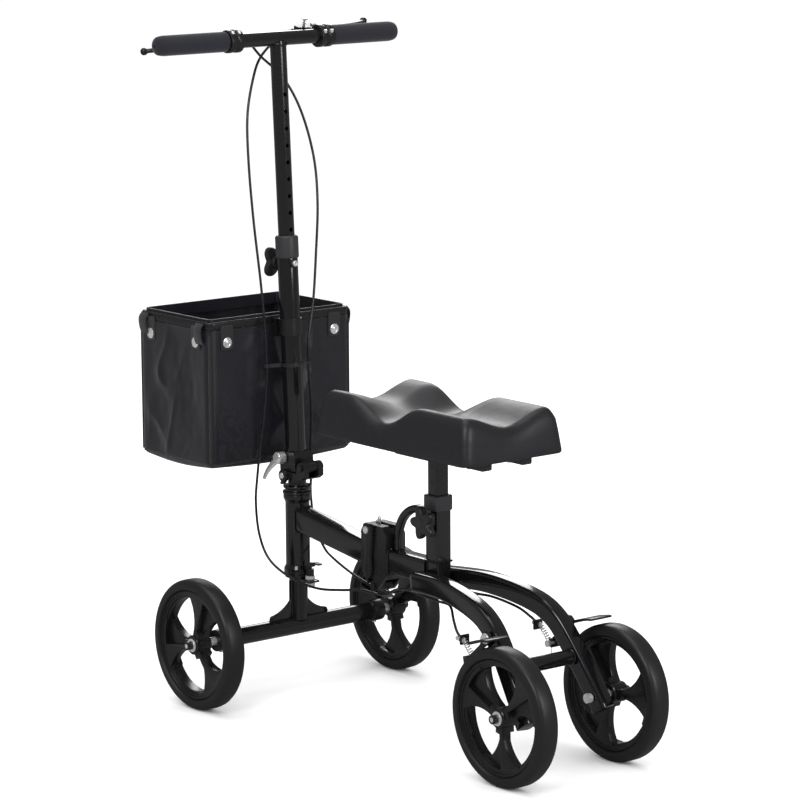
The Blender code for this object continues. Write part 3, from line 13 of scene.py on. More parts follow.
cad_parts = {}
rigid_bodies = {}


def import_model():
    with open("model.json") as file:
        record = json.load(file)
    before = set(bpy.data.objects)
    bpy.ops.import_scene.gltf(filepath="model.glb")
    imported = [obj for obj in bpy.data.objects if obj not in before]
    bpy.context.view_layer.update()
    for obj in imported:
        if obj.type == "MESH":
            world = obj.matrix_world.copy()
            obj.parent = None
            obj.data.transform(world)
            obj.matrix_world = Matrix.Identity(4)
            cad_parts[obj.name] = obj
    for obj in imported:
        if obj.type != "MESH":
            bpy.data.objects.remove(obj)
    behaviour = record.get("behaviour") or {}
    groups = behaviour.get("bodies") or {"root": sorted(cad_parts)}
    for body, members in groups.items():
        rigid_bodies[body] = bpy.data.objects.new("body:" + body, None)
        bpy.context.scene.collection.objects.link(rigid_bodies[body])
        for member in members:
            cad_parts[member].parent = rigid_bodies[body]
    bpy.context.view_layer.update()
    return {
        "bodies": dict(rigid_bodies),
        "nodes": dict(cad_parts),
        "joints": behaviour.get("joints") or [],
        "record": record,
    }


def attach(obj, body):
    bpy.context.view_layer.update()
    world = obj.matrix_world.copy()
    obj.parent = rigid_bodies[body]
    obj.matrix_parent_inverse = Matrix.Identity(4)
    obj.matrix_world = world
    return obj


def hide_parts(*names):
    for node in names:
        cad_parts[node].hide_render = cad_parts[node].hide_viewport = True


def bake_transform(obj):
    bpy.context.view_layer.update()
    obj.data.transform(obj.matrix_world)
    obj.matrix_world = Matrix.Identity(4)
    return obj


LOG = logging.getLogger("knee_scooter")
MM = 0.001
X_MID = 373.7             # the middle of the scooter, ahead of the rear axle; like all below, in millimetres
STEER_X = 623.0           # steering axis and front axle, ahead of the rear axle
AXLE_Z = 101.6            # height of all four axles
REAR_Y, FRONT_Y = 106.0, 192.0     # wheels' distance from the middle
SEAT_X = 276.0            # middle of the seat tube
BAR_Z, BAR_HALF = 680.0, 226.0     # handlebar's height up the column and half its length
HEIGHT_HOLE_Z, HEIGHT_STEP = 334.0, 26.0     # lowest height hole and the distance to the next
CABLE_R = 2.0             # brake cable's outer radius
LEAN = math.radians(3.1)     # the column leans forward by this
GAP = 0.3                 # clearance between welded or seated pieces
Points = Sequence[tuple[float, float]]


def at(x: float, y: float, z: float) -> Vector:
    """A point given in millimetres, with x ahead of the rear axle, as a point of the model."""
    return Vector((x - X_MID, y, z)) * MM


CAST_PIECES = {"clamp_front": "front_frame", "clamp_rear": "rear_frame",
               "fold_base": "steering", "fold_knuckle": "column", "basket_bracket": "column", "cable_clip": "column"}
COLUMN = Matrix.Translation(at(STEER_X, 0, 340)) @ Matrix.Rotation(LEAN, 4, "Y")


# ---- finishes -----------------------------------------------------------------------------------
class Grain(Enum):
    """The kinds of fine relief a finish can have."""

    PAINT = "paint"
    CAST = "cast"
    METAL = "metal"
    RUBBER = "rubber"
    FOAM = "foam"
    SKIN = "skin"
    WEAVE = "weave"


@dataclass(frozen=True)
class Finish:
    """A surface: its colours, how it reflects, and the relief that covers it."""

    name: str
    colour: tuple[float, float, float]
    second: tuple[float, float, float]
    roughness: float
    grain: Grain
    metallic: float = 0.0
    coat: float = 0.0
    specular: float = 0.5
    sheen: float = 0.0
    scale: float = 300.0
    relief: float = 0.1
    dust: float = 0.05
    wear: float = 0.0


FINISHES = (
    Finish("black_paint", (0.0026, 0.0026, 0.003), (0.005, 0.005, 0.006), 0.15, Grain.PAINT, coat=0.4, scale=900,
           relief=0.03, dust=0.006, wear=0.03),
    Finish("black_cast", (0.004, 0.004, 0.0045), (0.009, 0.009, 0.010), 0.30, Grain.CAST, scale=1400, relief=0.12,
           dust=0.012),
    Finish("zinc_steel", (0.74, 0.74, 0.75), (0.60, 0.60, 0.60), 0.27, Grain.METAL, metallic=0.7, scale=500,
           relief=0.05, dust=0.02),
    Finish("chrome", (0.88, 0.88, 0.89), (0.78, 0.78, 0.79), 0.14, Grain.METAL, metallic=0.78, scale=400,
           relief=0.02, dust=0.01),
    Finish("tyre_rubber", (0.0038, 0.0038, 0.0046), (0.007, 0.007, 0.0085), 0.44, Grain.RUBBER, scale=600,
           relief=0.12, dust=0.03),
    Finish("wheel_plastic", (0.003, 0.003, 0.0036), (0.0055, 0.0055, 0.0065), 0.28, Grain.CAST, scale=1100,
           relief=0.08, dust=0.02),
    Finish("pad_skin", (0.0055, 0.0056, 0.0075), (0.010, 0.0102, 0.013), 0.44, Grain.SKIN, scale=420, relief=0.2,
           dust=0.02),
    Finish("grip_foam", (0.0085, 0.0088, 0.013), (0.019, 0.0195, 0.026), 0.88, Grain.FOAM, sheen=0.2, scale=900,
           relief=0.5, dust=0.03, specular=0.2),
    Finish("grey_plastic", (0.016, 0.016, 0.018), (0.028, 0.028, 0.031), 0.42, Grain.CAST, scale=900, relief=0.1,
           dust=0.02),
    Finish("knob_plastic", (0.007, 0.007, 0.008), (0.014, 0.014, 0.016), 0.36, Grain.CAST, scale=1000,
           relief=0.1, dust=0.02),
    Finish("black_nylon", (0.0028, 0.0028, 0.0045), (0.0075, 0.0075, 0.012), 0.33, Grain.WEAVE, sheen=0.12,
           scale=1500, relief=0.2, dust=0.01),
    Finish("webbing", (0.005, 0.005, 0.006), (0.014, 0.014, 0.016), 0.7, Grain.WEAVE, sheen=0.15, scale=520,
           relief=0.6, dust=0.02),
    Finish("cable_skin", (0.005, 0.005, 0.005), (0.010, 0.010, 0.010), 0.28, Grain.PAINT, scale=700, relief=0.03,
           dust=0.01),
)


class EffectGroups:
    """Shader node groups that finishes share; each one gives out values, masks or normals only."""

    def __init__(self) -> None:
        """Make every shared effect once."""
        self.mottle = self._mottle()
        self.relief = {grain: self._relief(grain) for grain in Grain}
        self.settled = self._settled()
        self.worn = self._worn()

    @staticmethod
    def _group(name: str, inputs: Iterable[tuple[str, float]], outputs: Iterable[tuple[str, str]]
               ) -> tuple[bpy.types.NodeTree, bpy.types.Node, bpy.types.Node]:
        """An empty group with float inputs and the given outputs, and its two end nodes.

        Args:
            name: the group's name.
            inputs: names and first values of its float inputs.
            outputs: names and socket types of its outputs.

        Returns:
            The group with its input and output nodes.
        """
        tree = bpy.data.node_groups.new(name, "ShaderNodeTree")
        for label, value in inputs:
            tree.interface.new_socket(label, in_out="INPUT", socket_type="NodeSocketFloat").default_value = value
        for label, kind in outputs:
            tree.interface.new_socket(label, in_out="OUTPUT", socket_type=kind)
        return tree, tree.nodes.new("NodeGroupInput"), tree.nodes.new("NodeGroupOutput")

    def _mottle(self) -> bpy.types.NodeTree:
        """Slow unevenness of a surface, 0 to 1."""
        tree, _, end = self._group("mottle", (), (("Value", "NodeSocketFloat"),))
        place = tree.nodes.new("ShaderNodeTexCoord")
        slow, fast = tree.nodes.new("ShaderNodeTexNoise"), tree.nodes.new("ShaderNodeTexNoise")
        slow.inputs["Scale"].default_value, fast.inputs["Scale"].default_value = 14.0, 90.0
        mix = tree.nodes.new("ShaderNodeMath")
        mix.operation = "MULTIPLY"
        for source in (slow, fast):
            tree.links.new(place.outputs["Object"], source.inputs["Vector"])
        tree.links.new(slow.outputs["Fac"], mix.inputs[0])
        tree.links.new(fast.outputs["Fac"], mix.inputs[1])
        tree.links.new(mix.outputs[0], end.inputs["Value"])
        return tree

    def _relief(self, grain: Grain) -> bpy.types.NodeTree:
        """Fine relief as a normal, with a height that colours can follow.

        Args:
            grain: the kind of surface.

        Returns:
            The node group.
        """
        tree, start, end = self._group("relief_" + grain.value, (("Scale", 500.0), ("Depth", 0.1)),
                                       (("Normal", "NodeSocketVector"), ("Height", "NodeSocketFloat")))
        place = tree.nodes.new("ShaderNodeTexCoord")
        bump = tree.nodes.new("ShaderNodeBump")
        bump.inputs["Distance"].default_value = 0.0004
        if grain in (Grain.SKIN, Grain.RUBBER):
            source = tree.nodes.new("ShaderNodeTexVoronoi")
            out = source.outputs["Distance"]
        elif grain is Grain.WEAVE:
            source = tree.nodes.new("ShaderNodeTexWave")
            source.inputs["Distortion"].default_value = 0.6
            out = source.outputs["Fac"]
        else:
            source = tree.nodes.new("ShaderNodeTexNoise")
            source.inputs["Detail"].default_value = 4.0 if grain is Grain.FOAM else 2.0
            out = source.outputs["Fac"]
        tree.links.new(place.outputs["Object"], source.inputs["Vector"])
        tree.links.new(start.outputs["Scale"], source.inputs["Scale"])
        if grain is Grain.WEAVE:
            cross = tree.nodes.new("ShaderNodeTexWave")
            cross.bands_direction = "Z"
            cross.inputs["Distortion"].default_value = 0.6
            both = tree.nodes.new("ShaderNodeMath")
            both.operation = "MAXIMUM"
            tree.links.new(place.outputs["Object"], cross.inputs["Vector"])
            tree.links.new(start.outputs["Scale"], cross.inputs["Scale"])
            tree.links.new(out, both.inputs[0])
            tree.links.new(cross.outputs["Fac"], both.inputs[1])
            out = both.outputs[0]
        tree.links.new(out, bump.inputs["Height"])
        tree.links.new(start.outputs["Depth"], bump.inputs["Strength"])
        tree.links.new(bump.outputs["Normal"], end.inputs["Normal"])
        tree.links.new(out, end.inputs["Height"])
        return tree

    def _settled(self) -> bpy.types.NodeTree:
        """Where dust settles: faces that look up, in patches."""
        tree, start, end = self._group("settled_dust", (("Amount", 0.1),), (("Mask", "NodeSocketFloat"),))
        shape = tree.nodes.new("ShaderNodeNewGeometry")
        split = tree.nodes.new("ShaderNodeSeparateXYZ")
        patch = tree.nodes.new("ShaderNodeTexNoise")
        patch.inputs["Scale"].default_value = 35.0
        place = tree.nodes.new("ShaderNodeTexCoord")
        first, second = tree.nodes.new("ShaderNodeMath"), tree.nodes.new("ShaderNodeMath")
        for step in (first, second):
            step.operation = "MULTIPLY"
            step.use_clamp = True
        tree.links.new(shape.outputs["Normal"], split.inputs[0])
        tree.links.new(place.outputs["Object"], patch.inputs["Vector"])
        tree.links.new(split.outputs["Z"], first.inputs[0])
        tree.links.new(patch.outputs["Fac"], first.inputs[1])
        tree.links.new(first.outputs[0], second.inputs[0])
        tree.links.new(start.outputs["Amount"], second.inputs[1])
        tree.links.new(second.outputs[0], end.inputs["Mask"])
        return tree

    def _worn(self) -> bpy.types.NodeTree:
        """Edges rubbed thin: sharp convex corners, broken up."""
        tree, start, end = self._group("worn_edges", (("Amount", 0.1),), (("Mask", "NodeSocketFloat"),))
        shape = tree.nodes.new("ShaderNodeNewGeometry")
        ramp = tree.nodes.new("ShaderNodeMapRange")
        ramp.inputs["From Min"].default_value, ramp.inputs["From Max"].default_value = 0.56, 0.70
        place = tree.nodes.new("ShaderNodeTexCoord")
        patch = tree.nodes.new("ShaderNodeTexNoise")
        patch.inputs["Scale"].default_value = 160.0
        first, second = tree.nodes.new("ShaderNodeMath"), tree.nodes.new("ShaderNodeMath")
        for step in (first, second):
            step.operation = "MULTIPLY"
            step.use_clamp = True
        tree.links.new(shape.outputs["Pointiness"], ramp.inputs["Value"])
        tree.links.new(place.outputs["Object"], patch.inputs["Vector"])
        tree.links.new(ramp.outputs["Result"], first.inputs[0])
        tree.links.new(patch.outputs["Fac"], first.inputs[1])
        tree.links.new(first.outputs[0], second.inputs[0])
        tree.links.new(start.outputs["Amount"], second.inputs[1])
        tree.links.new(second.outputs[0], end.inputs["Mask"])
        return tree


class Paintbox:
    """Makes each finish's material once and puts it on objects."""

    def __init__(self) -> None:
        """Make the effect groups and one material for each finish."""
        self.groups = EffectGroups()
        self.made = {finish.name: self._make(finish) for finish in FINISHES}

    def _make(self, finish: Finish) -> bpy.types.Material:
        """Build one finish's material.

        Args:
            finish: its colours and surface values.

        Returns:
            The material.
        """
        material = bpy.data.materials.new("look_" + finish.name)
        material.use_nodes = True
        tree = material.node_tree
        shader = tree.nodes["Principled BSDF"]
        shader.inputs["Metallic"].default_value = finish.metallic
        shader.inputs["Coat Weight"].default_value = finish.coat
        shader.inputs["Coat Roughness"].default_value = 0.08
        shader.inputs["Specular IOR Level"].default_value = finish.specular
        shader.inputs["Sheen Weight"].default_value = finish.sheen
        shader.inputs["Sheen Roughness"].default_value = 0.4

        def group(which: bpy.types.NodeTree, **values: float) -> bpy.types.Node:
            """Place a group node and set its inputs."""
            node = tree.nodes.new("ShaderNodeGroup")
            node.node_tree = which
            for label, value in values.items():
                node.inputs[label].default_value = value
            return node

        def blend(low: tuple | bpy.types.NodeSocket, high: tuple | bpy.types.NodeSocket,
                  share: bpy.types.NodeSocket) -> bpy.types.NodeSocket:
            """Mix two colours by a share."""
            node = tree.nodes.new("ShaderNodeMix")
            node.data_type = "RGBA"
            for socket, value in ((node.inputs[6], low), (node.inputs[7], high)):
                if isinstance(value, tuple):
                    socket.default_value = (*value, 1.0)
                else:
                    tree.links.new(value, socket)
            tree.links.new(share, node.inputs[0])
            return node.outputs[2]

        mottle = group(self.groups.mottle)
        relief = group(self.groups.relief[finish.grain], Scale=finish.scale, Depth=finish.relief)
        dust = group(self.groups.settled, Amount=finish.dust)
        wear = group(self.groups.worn, Amount=finish.wear)
        colour = blend(finish.colour, finish.second, relief.outputs["Height"])
        colour = blend(colour, (0.16, 0.15, 0.14), dust.outputs["Mask"])
        colour = blend(colour, (0.22, 0.22, 0.23), wear.outputs["Mask"])
        tree.links.new(colour, shader.inputs["Base Color"])
        spread = tree.nodes.new("ShaderNodeMapRange")
        spread.inputs["To Min"].default_value = max(0.03, finish.roughness - 0.06)
        spread.inputs["To Max"].default_value = min(1.0, finish.roughness + 0.12)
        tree.links.new(mottle.outputs["Value"], spread.inputs["Value"])
        tree.links.new(spread.outputs["Result"], shader.inputs["Roughness"])
        tree.links.new(relief.outputs["Normal"], shader.inputs["Normal"])
        return material

    def coat(self, thing: bpy.types.Object, finish: str) -> None:
        """Give an object one finish.

        Args:
            thing: the object.
            finish: name of a finish.
        """
        thing.data.materials.clear()
        thing.data.materials.append(self.made[finish])


# ---- shapes -------------------------------------------------------------------------------------
def mesh_of(rings: Sequence[Sequence[Vector]], ring_shape: bool = False, caps: bool = True) -> bpy.types.Mesh:
    """A surface through rings of points.

    Args:
        rings: rings with the same number of points, in model space.
        ring_shape: whether the last ring joins the first.
        caps: whether the end rings are filled.

    Returns:
        A smooth-shaded mesh with its sharp edges marked.
    """
    bm = bmesh.new()
    made = [[bm.verts.new(p) for p in ring] for ring in rings]
    pairs = list(zip(made, made[1:])) + ([(made[-1], made[0])] if ring_shape else [])
    for low, high in pairs:
        for i, vert in enumerate(low):
            j = (i + 1) % len(low)
            bm.faces.new((vert, low[j], high[j], high[i]))
    if caps and not ring_shape:
        bm.faces.new(made[0])
        bm.faces.new(made[-1])
    return closed(bm)


def closed(bm: bmesh.types.BMesh, weld: float = 1e-6) -> bpy.types.Mesh:
    """Weld a bmesh, face it outward and shade it smooth.

    Args:
        bm: the bmesh, which is freed.
        weld: distance below which points join, in metres.

    Returns:
        The finished mesh.
    """
    bmesh.ops.remove_doubles(bm, verts=bm.verts, dist=weld)
    bmesh.ops.recalc_face_normals(bm, faces=bm.faces)
    mesh = bpy.data.meshes.new("shape")
    bm.to_mesh(mesh)
    bm.free()
    mesh.shade_smooth()
    mesh.set_sharp_from_angle(angle=math.radians(38))
    return mesh


def along(axis: str, u: float, v: float, h: float) -> Vector:
    """A point u, v across an axis and h along it, in millimetres scaled to metres."""
    return {"X": Vector((h, u, v)), "Y": Vector((v, h, u)), "Z": Vector((u, v, h))}[axis] * MM


def turned(profile: Points, axis: str = "Z", place: Matrix = Matrix(), segments: int = 56,
           hollow: bool = False) -> bpy.types.Mesh:
    """Turn (radius, height) points round an axis of the given place.

    Args:
        profile: points as radius and height, in millimetres.
        axis: axis of the place to turn about.
        place: where the turned piece sits.
        segments: steps round the axis.
        hollow: whether the profile is a closed wall.

    Returns:
        The mesh.
    """
    turns = [2 * math.pi * i / segments for i in range(segments)]
    rings = [[place @ along(axis, r * math.cos(t), r * math.sin(t), h) for t in turns] for r, h in profile]
    return mesh_of(rings, hollow)


def softened(profile: Points, cut: float, steps: int = 3) -> list[tuple[float, float]]:
    """Round each corner of an open profile by up to cut.

    Args:
        profile: the points.
        cut: longest stretch of a side that a corner takes.
        steps: points in each corner.

    Returns:
        The profile with round corners.
    """
    result = [profile[0]]
    for before, corner, after in zip(profile, profile[1:], profile[2:]):
        a, b, c = Vector(before), Vector(corner), Vector(after)
        reach = min(cut, (a - b).length * 0.45, (c - b).length * 0.45)
        first, last = b + (a - b).normalized() * reach, b + (c - b).normalized() * reach
        for i in range(steps + 1):
            t = i / steps
            result.append(tuple(first * (1 - t) ** 2 + b * (2 * t * (1 - t)) + last * t * t))
    return result + [profile[-1]]


def rounded(width: float, height: float, radius: float, steps: int = 5) -> list[tuple[float, float]]:
    """A rounded rectangle about zero.

    Args:
        width: its width.
        height: its height.
        radius: corner radius.
        steps: points in each corner.

    Returns:
        The outline's points.
    """
    points = []
    for sx, sy, start in ((1, 1, 0), (-1, 1, 90), (-1, -1, 180), (1, -1, 270)):
        for i in range(steps + 1):
            t = math.radians(start + 90 * i / steps)
            points.append((sx * (width / 2 - radius) + radius * math.cos(t),
                           sy * (height / 2 - radius) + radius * math.sin(t)))
    return points


def circle(radius: float, count: int = 14) -> list[tuple[float, float]]:
    """Points of a circle about zero."""
    return [(radius * math.cos(2 * math.pi * i / count), radius * math.sin(2 * math.pi * i / count))
            for i in range(count)]


def curve_through(points: Sequence[Vector], spacing: float = 6.0) -> list[Vector]:
    """Even points on a smooth curve through the given points; spacing is in millimetres.

    Args:
        points: the points to pass through.
        spacing: distance between the new points.

    Returns:
        The points of the curve.
    """
    route = [2 * points[0] - points[1], *points, 2 * points[-1] - points[-2]]
    dense: list[Vector] = []
    for a, b, c, d in zip(route, route[1:], route[2:], route[3:]):
        for k in range(16):
            t = k / 16
            dense.append(0.5 * (2 * b + (c - a) * t + (2 * a - 5 * b + 4 * c - d) * t * t
                                + (3 * b - a - 3 * c + d) * t ** 3))
    dense.append(points[-1].copy())
    result, gone = [dense[0]], 0.0
    for p, q in zip(dense, dense[1:]):
        gone += (q - p).length
        if gone >= spacing * MM:
            result.append(q)
            gone = 0.0
    if (result[-1] - dense[-1]).length > 1e-5:
        result.append(dense[-1])
    return result


def swept(profile: Points, path: Sequence[Vector], across: Vector | None = None) -> bpy.types.Mesh:
    """Carry a (side, up) profile along a path; without across, the profile turns as little as it can.

    Args:
        profile: outline as side and up, in millimetres.
        path: points to carry it along.
        across: fixed direction of the side, if any.

    Returns:
        The mesh.
    """
    rings, side = [], across
    for i, point in enumerate(path):
        ahead = (path[min(i + 1, len(path) - 1)] - path[max(i - 1, 0)]).normalized()
        if side is None:
            side = ahead.orthogonal()
        flat = (side - ahead * side.dot(ahead)).normalized()
        if across is None:
            side = flat
        up = ahead.cross(flat)
        rings.append([point + (flat * a + up * b) * MM for a, b in profile])
    return mesh_of(rings)


def plate(outline: Points, low: float, high: float, place: Matrix = Matrix(), flat: bool = False) -> bpy.types.Mesh:
    """Extrude an (x, z) outline along Y between low and high, or an (x, y) outline along Z when flat."""
    if flat:
        return mesh_of([[place @ (Vector((x, y, h)) * MM) for x, y in outline] for h in (low, high)])
    return mesh_of([[place @ (Vector((x, h, z)) * MM) for x, z in outline] for h in (low, high)])


def block(size: tuple[float, float, float], radius: float, place: Matrix) -> bpy.types.Mesh:
    """A block with rounded upright edges and softened ends, centred on a place.

    Args:
        size: its three sizes in millimetres.
        radius: radius of the upright edges.
        place: its middle and turn.

    Returns:
        The mesh.
    """
    x, y, z = size
    soft = min(radius, 1.2)
    levels = ((soft, -z / 2), (0, -z / 2 + soft), (0, z / 2 - soft), (soft, z / 2))
    return mesh_of([[place @ (Vector((a, b, h)) * MM) for a, b in
                     rounded(x - 2 * inset, y - 2 * inset, max(0.2, radius - inset), 3)] for inset, h in levels])


class Workshop:
    """Turns meshes into named pieces that ride a body and wear a finish."""

    def __init__(self, paint: Paintbox) -> None:
        """Keep the finishes at hand."""
        self.paint = paint

    def piece(self, name: str, mesh: bpy.types.Mesh, finish: str, body: str, stands_for: Sequence[str] = (),
              bevel: float = 0.0) -> bpy.types.Object:
        """Place one piece.

        Args:
            name: the object's name.
            mesh: its mesh in model space.
            finish: name of a finish.
            body: the body that carries it.
            stands_for: frame nodes that it replaces.
            bevel: width of rounded edges, in millimetres.
        """
        thing = bpy.data.objects.new(name, mesh)
        bpy.context.scene.collection.objects.link(thing)
        if bevel:
            edge = thing.modifiers.new("edges", "BEVEL")
            edge.width, edge.segments, edge.limit_method = bevel * MM, 2, "ANGLE"
            edge.angle_limit = math.radians(35)
            bpy.context.view_layer.update()
            seen = thing.evaluated_get(bpy.context.evaluated_depsgraph_get())
            baked = bpy.data.meshes.new_from_object(seen)
            thing.modifiers.clear()
            thing.data = baked
            baked.shade_smooth()
            baked.set_sharp_from_angle(angle=math.radians(50))
        self.paint.coat(thing, finish)
        if body:
            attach(thing, body)
        if stands_for:
            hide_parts(*stands_for)
        return thing

    def skin(self, node: str, source: bpy.types.Object, finish: str, body: str, bevel: float) -> bpy.types.Object:
        """A copy of a cast piece's solid with flat faces made whole and its edges rounded.

        Args:
            node: the frame node that it covers.
            source: the node's object.
            finish: name of a finish.
            body: the body that carries it.
            bevel: width of the rounded edges, in millimetres.

        Returns:
            The new piece.
        """
        bm = bmesh.new()
        bm.from_mesh(source.data)
        bmesh.ops.dissolve_limit(bm, angle_limit=math.radians(1.5), verts=bm.verts, edges=bm.edges)
        mesh = bpy.data.meshes.new(node + "_skin")
        bm.to_mesh(mesh)
        bm.free()
        return self.piece(node + "_skin", mesh, finish, body, [node], bevel)

    def weld(self, name: str, ring: Sequence[Vector], radius: float, body: str) -> None:
        """A rippled weld bead round a closed ring of points.

        Args:
            name: the piece's name.
            ring: points along the joint.
            radius: the bead's radius in millimetres.
            body: the body that carries it.
        """
        path = curve_through([*ring, ring[0]], 2.4)
        rings, side = [], None
        for i, point in enumerate(path[:-1]):
            ahead = (path[i + 1] - path[i - 1 if i else -2]).normalized()
            side = ahead.orthogonal() if side is None else (side - ahead * side.dot(ahead)).normalized()
            up = ahead.cross(side)
            ripple = radius * (1 + 0.14 * math.sin(i * 1.9) + 0.1 * noise.noise(point * 900))
            rings.append([point + (side * a + up * b) * MM * ripple for a, b in circle(1.0, 8)])
        self.piece(name, mesh_of(rings), "black_paint", body)


# ---- rear frame ---------------------------------------------------------------------------------
@dataclass(frozen=True)
class RearFrameSizes:
    """Rear frame sizes in millimetres."""

    seat_x: float = SEAT_X
    leg_front: float = 291.0
    leg_w: float = 25.0
    leg_h: float = 30.0
    leg_top: float = 237.0
    beam_z: float = 247.0
    pivot_x: float = 72.0
    pivot_z: float = 198.0

    def leg_y(self, x: float) -> float:
        """Distance of a leg from the middle at a place along it."""
        front, rear = 16.0 + self.leg_w / 2 + GAP, REAR_Y - 17.0 - self.leg_w / 2 - 5.5
        return front + (rear - front) * (self.leg_front - x) / self.leg_front


class RearFrame:
    """Seat tube, legs, cross tube, handle and the brake gear at the rear wheels."""

    SKETCH = ((291, -2), (265, 0), (226, 2), (195, 1), (155, -4), (118, -12), (95, -21), (75, -35), (58, -54),
              (40, -78), (20, -106))

    def __init__(self, shop: Workshop, sizes: RearFrameSizes) -> None:
        """Take the workshop and the sizes."""
        self.shop, self.s = shop, sizes

    def build(self) -> None:
        """Build every piece of the rear frame."""
        s, shop = self.s, self.shop
        square = rounded(28, 28, 3.2)
        shop.piece("seat_tube_skin", swept(square, [at(s.seat_x, 0, 228.5), at(s.seat_x, 0, 350)], Vector((0, 1, 0))),
                   "black_paint", "rear_frame", ["seat_tube"])
        collar = [(0.9, 343), (0, 344.4), (0, 364.6), (1.4, 366)]
        outer = [[at(s.seat_x + a, b, z) for a, b in rounded(32.5 - 2 * i, 32.5 - 2 * i, 4.2)] for i, z in collar]
        inner = [[at(s.seat_x + a, b, z) for a, b in rounded(24, 24, 2.4)] for z in (366, 350.3)]
        inner += [[at(s.seat_x + a, b, z) for a, b in rounded(28.6, 28.6, 3.4)] for z in (350.3, 343)]
        shop.piece("seat_collar_skin", mesh_of(outer + inner, True), "grey_plastic", "rear_frame", ["seat_collar"])
        beam = rounded(32, 37, 6.5)
        shop.piece("rear_beam_skin", swept(beam, [at(377.7, 0, s.beam_z), at(290.3, 0, s.beam_z)],
                                           Vector((0, 1, 0))), "black_paint", "rear_frame", ["rear_beam"])
        for side, word in ((1, "left"), (-1, "right")):
            self._leg(side, word)
            self._brake(side, word)
        reach = s.leg_y(49) - 0.51 * s.leg_w - GAP
        tube = turned([(11, -reach), (11, reach)], "Y", Matrix.Translation(at(38, 0, 156)))
        shop.piece("cross_tube_skin", tube, "black_paint", "rear_frame", ["rear_cross_tube"])
        for side in (1, -1):
            ring = [at(38 + 11.6 * math.cos(t), side * (reach - 0.6), 156 + 11.6 * math.sin(t))
                    for t in (math.pi * k / 6 for k in range(12))]
            shop.weld("cross_weld", ring, 1.6, "rear_frame")
        arch = [at(290 + x, 0, 265.8 + z) for x, z in
                ((81, 0.3), (81, 16), (78, 33), (70, 49), (58, 61), (42, 69), (24, 71), (1.5, 66))]
        shop.piece("carry_handle_skin", swept(rounded(14, 12, 4.6), curve_through(arch, 4), Vector((0, 1, 0))),
                   "black_paint", "rear_frame", ["carry_handle"])
        for height, inset in ((265.9, 1.0), (228.9, 1.0)):
            ring = [at(s.seat_x + a, b, height) for a, b in rounded(28 + 2 * inset, 28 + 2 * inset, 4, 2)]
            shop.weld("seat_tube_weld", ring, 1.8, "rear_frame")
        clamp_ring = [at(377.2, b, s.beam_z + a) for a, b in rounded(38.5, 33.5, 7, 3)]
        shop.weld("beam_weld", clamp_ring, 1.9, "rear_frame")

    def leg_path(self, side: int) -> list[Vector]:
        """Centre line of one bowed leg."""
        s = self.s
        path = [at(x, side * s.leg_y(x), s.leg_top + drop) for x, drop in self.SKETCH]
        foot = at(0, side * s.leg_y(0), AXLE_Z)
        path += [foot, foot + (foot - path[-1]) * 0.6]
        return curve_through(path, 7)

    def _leg(self, side: int, word: str) -> None:
        """One leg with its cable stop, ferrule, return spring and bare inner wire.

        Args:
            side: 1 for left and -1 for right.
            word: left or right.
        """
        s = self.s
        skin = swept(rounded(s.leg_w, s.leg_h, 5.5), self.leg_path(side), Vector((0, 1, 0)))
        self.shop.piece("leg_" + word + "_skin", skin, "black_paint", "rear_frame", ["leg_" + word], bevel=0.6)
        x = s.pivot_x + 61
        y = side * (s.leg_y(x) + s.leg_w / 2 + 4.5)
        seat = Matrix.Translation(at(x - 1.75, y + side * 1.5, 184))
        self.shop.piece("stop_bracket_" + word, block((3.5, 17, 15), 1.2, seat), "black_cast", "rear_frame")
        y = side * (s.leg_y(x) + s.leg_w / 2 + 9)
        z = s.pivot_z - 14
        ferrule = [(0.8, -5), (3.4, -5), (3.4, 1), (4.6, 1.4), (4.6, 4), (3.2, 4.4), (3.0, 12), (2.2, 12.5),
                   (0.8, 12.5)]
        self.shop.piece("ferrule_" + word, turned(ferrule, "X", Matrix.Translation(at(x, y, z)), 24), "zinc_steel",
                        "rear_frame")
        end = at(s.pivot_x + 36.5, y, z - 21)
        start = at(x - 4.2, y, z)
        coil, turns = [], 7
        run = end - start
        across = run.orthogonal().normalized()
        up = run.normalized().cross(across)
        for k in range(turns * 14 + 1):
            t = k / (turns * 14)
            angle = t * turns * 2 * math.pi
            coil.append(start + run * t + (across * math.cos(angle) + up * math.sin(angle)) * 3.6 * MM)
        spring = self.shop.piece("return_spring_" + word, swept(circle(0.75, 7), coil), "zinc_steel", "")
        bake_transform(spring)
        wire = curve_through([start, end, end + Vector((-0.004, 0, -0.012)), end + Vector((-0.005, 0, -0.028))], 2)
        strand = self.shop.piece("inner_wire_" + word, swept(circle(0.6, 7), wire), "zinc_steel", "")
        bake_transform(strand)
        grip = Matrix.Translation(end + Vector((-0.003, 0, -0.003)))
        self.shop.piece("wire_clamp_" + word, turned([(3.6, -6), (3.6, 4), (5, 4), (5, 8)], "Y", grip, 24),
                        "zinc_steel", "brake_arm_" + word)

    def _brake(self, side: int, word: str) -> None:
        """One brake arm with its shoe, tail, pivot bolt and nut.

        Args:
            side: 1 for left and -1 for right.
            word: left or right.
        """
        s = self.s
        outside = s.leg_y(s.pivot_x) + s.leg_w / 2 + 4.0
        centre = Matrix.Translation(at(s.pivot_x, side * (outside + 5), s.pivot_z))
        def about(points: Points) -> list[tuple[float, float]]:
            """Points round the brake pivot as places in the model, in millimetres."""
            return [(s.pivot_x + x - X_MID, s.pivot_z + z) for x, z in points]

        def span(low: float, high: float) -> list[float]:
            """Two distances on this side, in rising order."""
            return sorted((side * low, side * high))

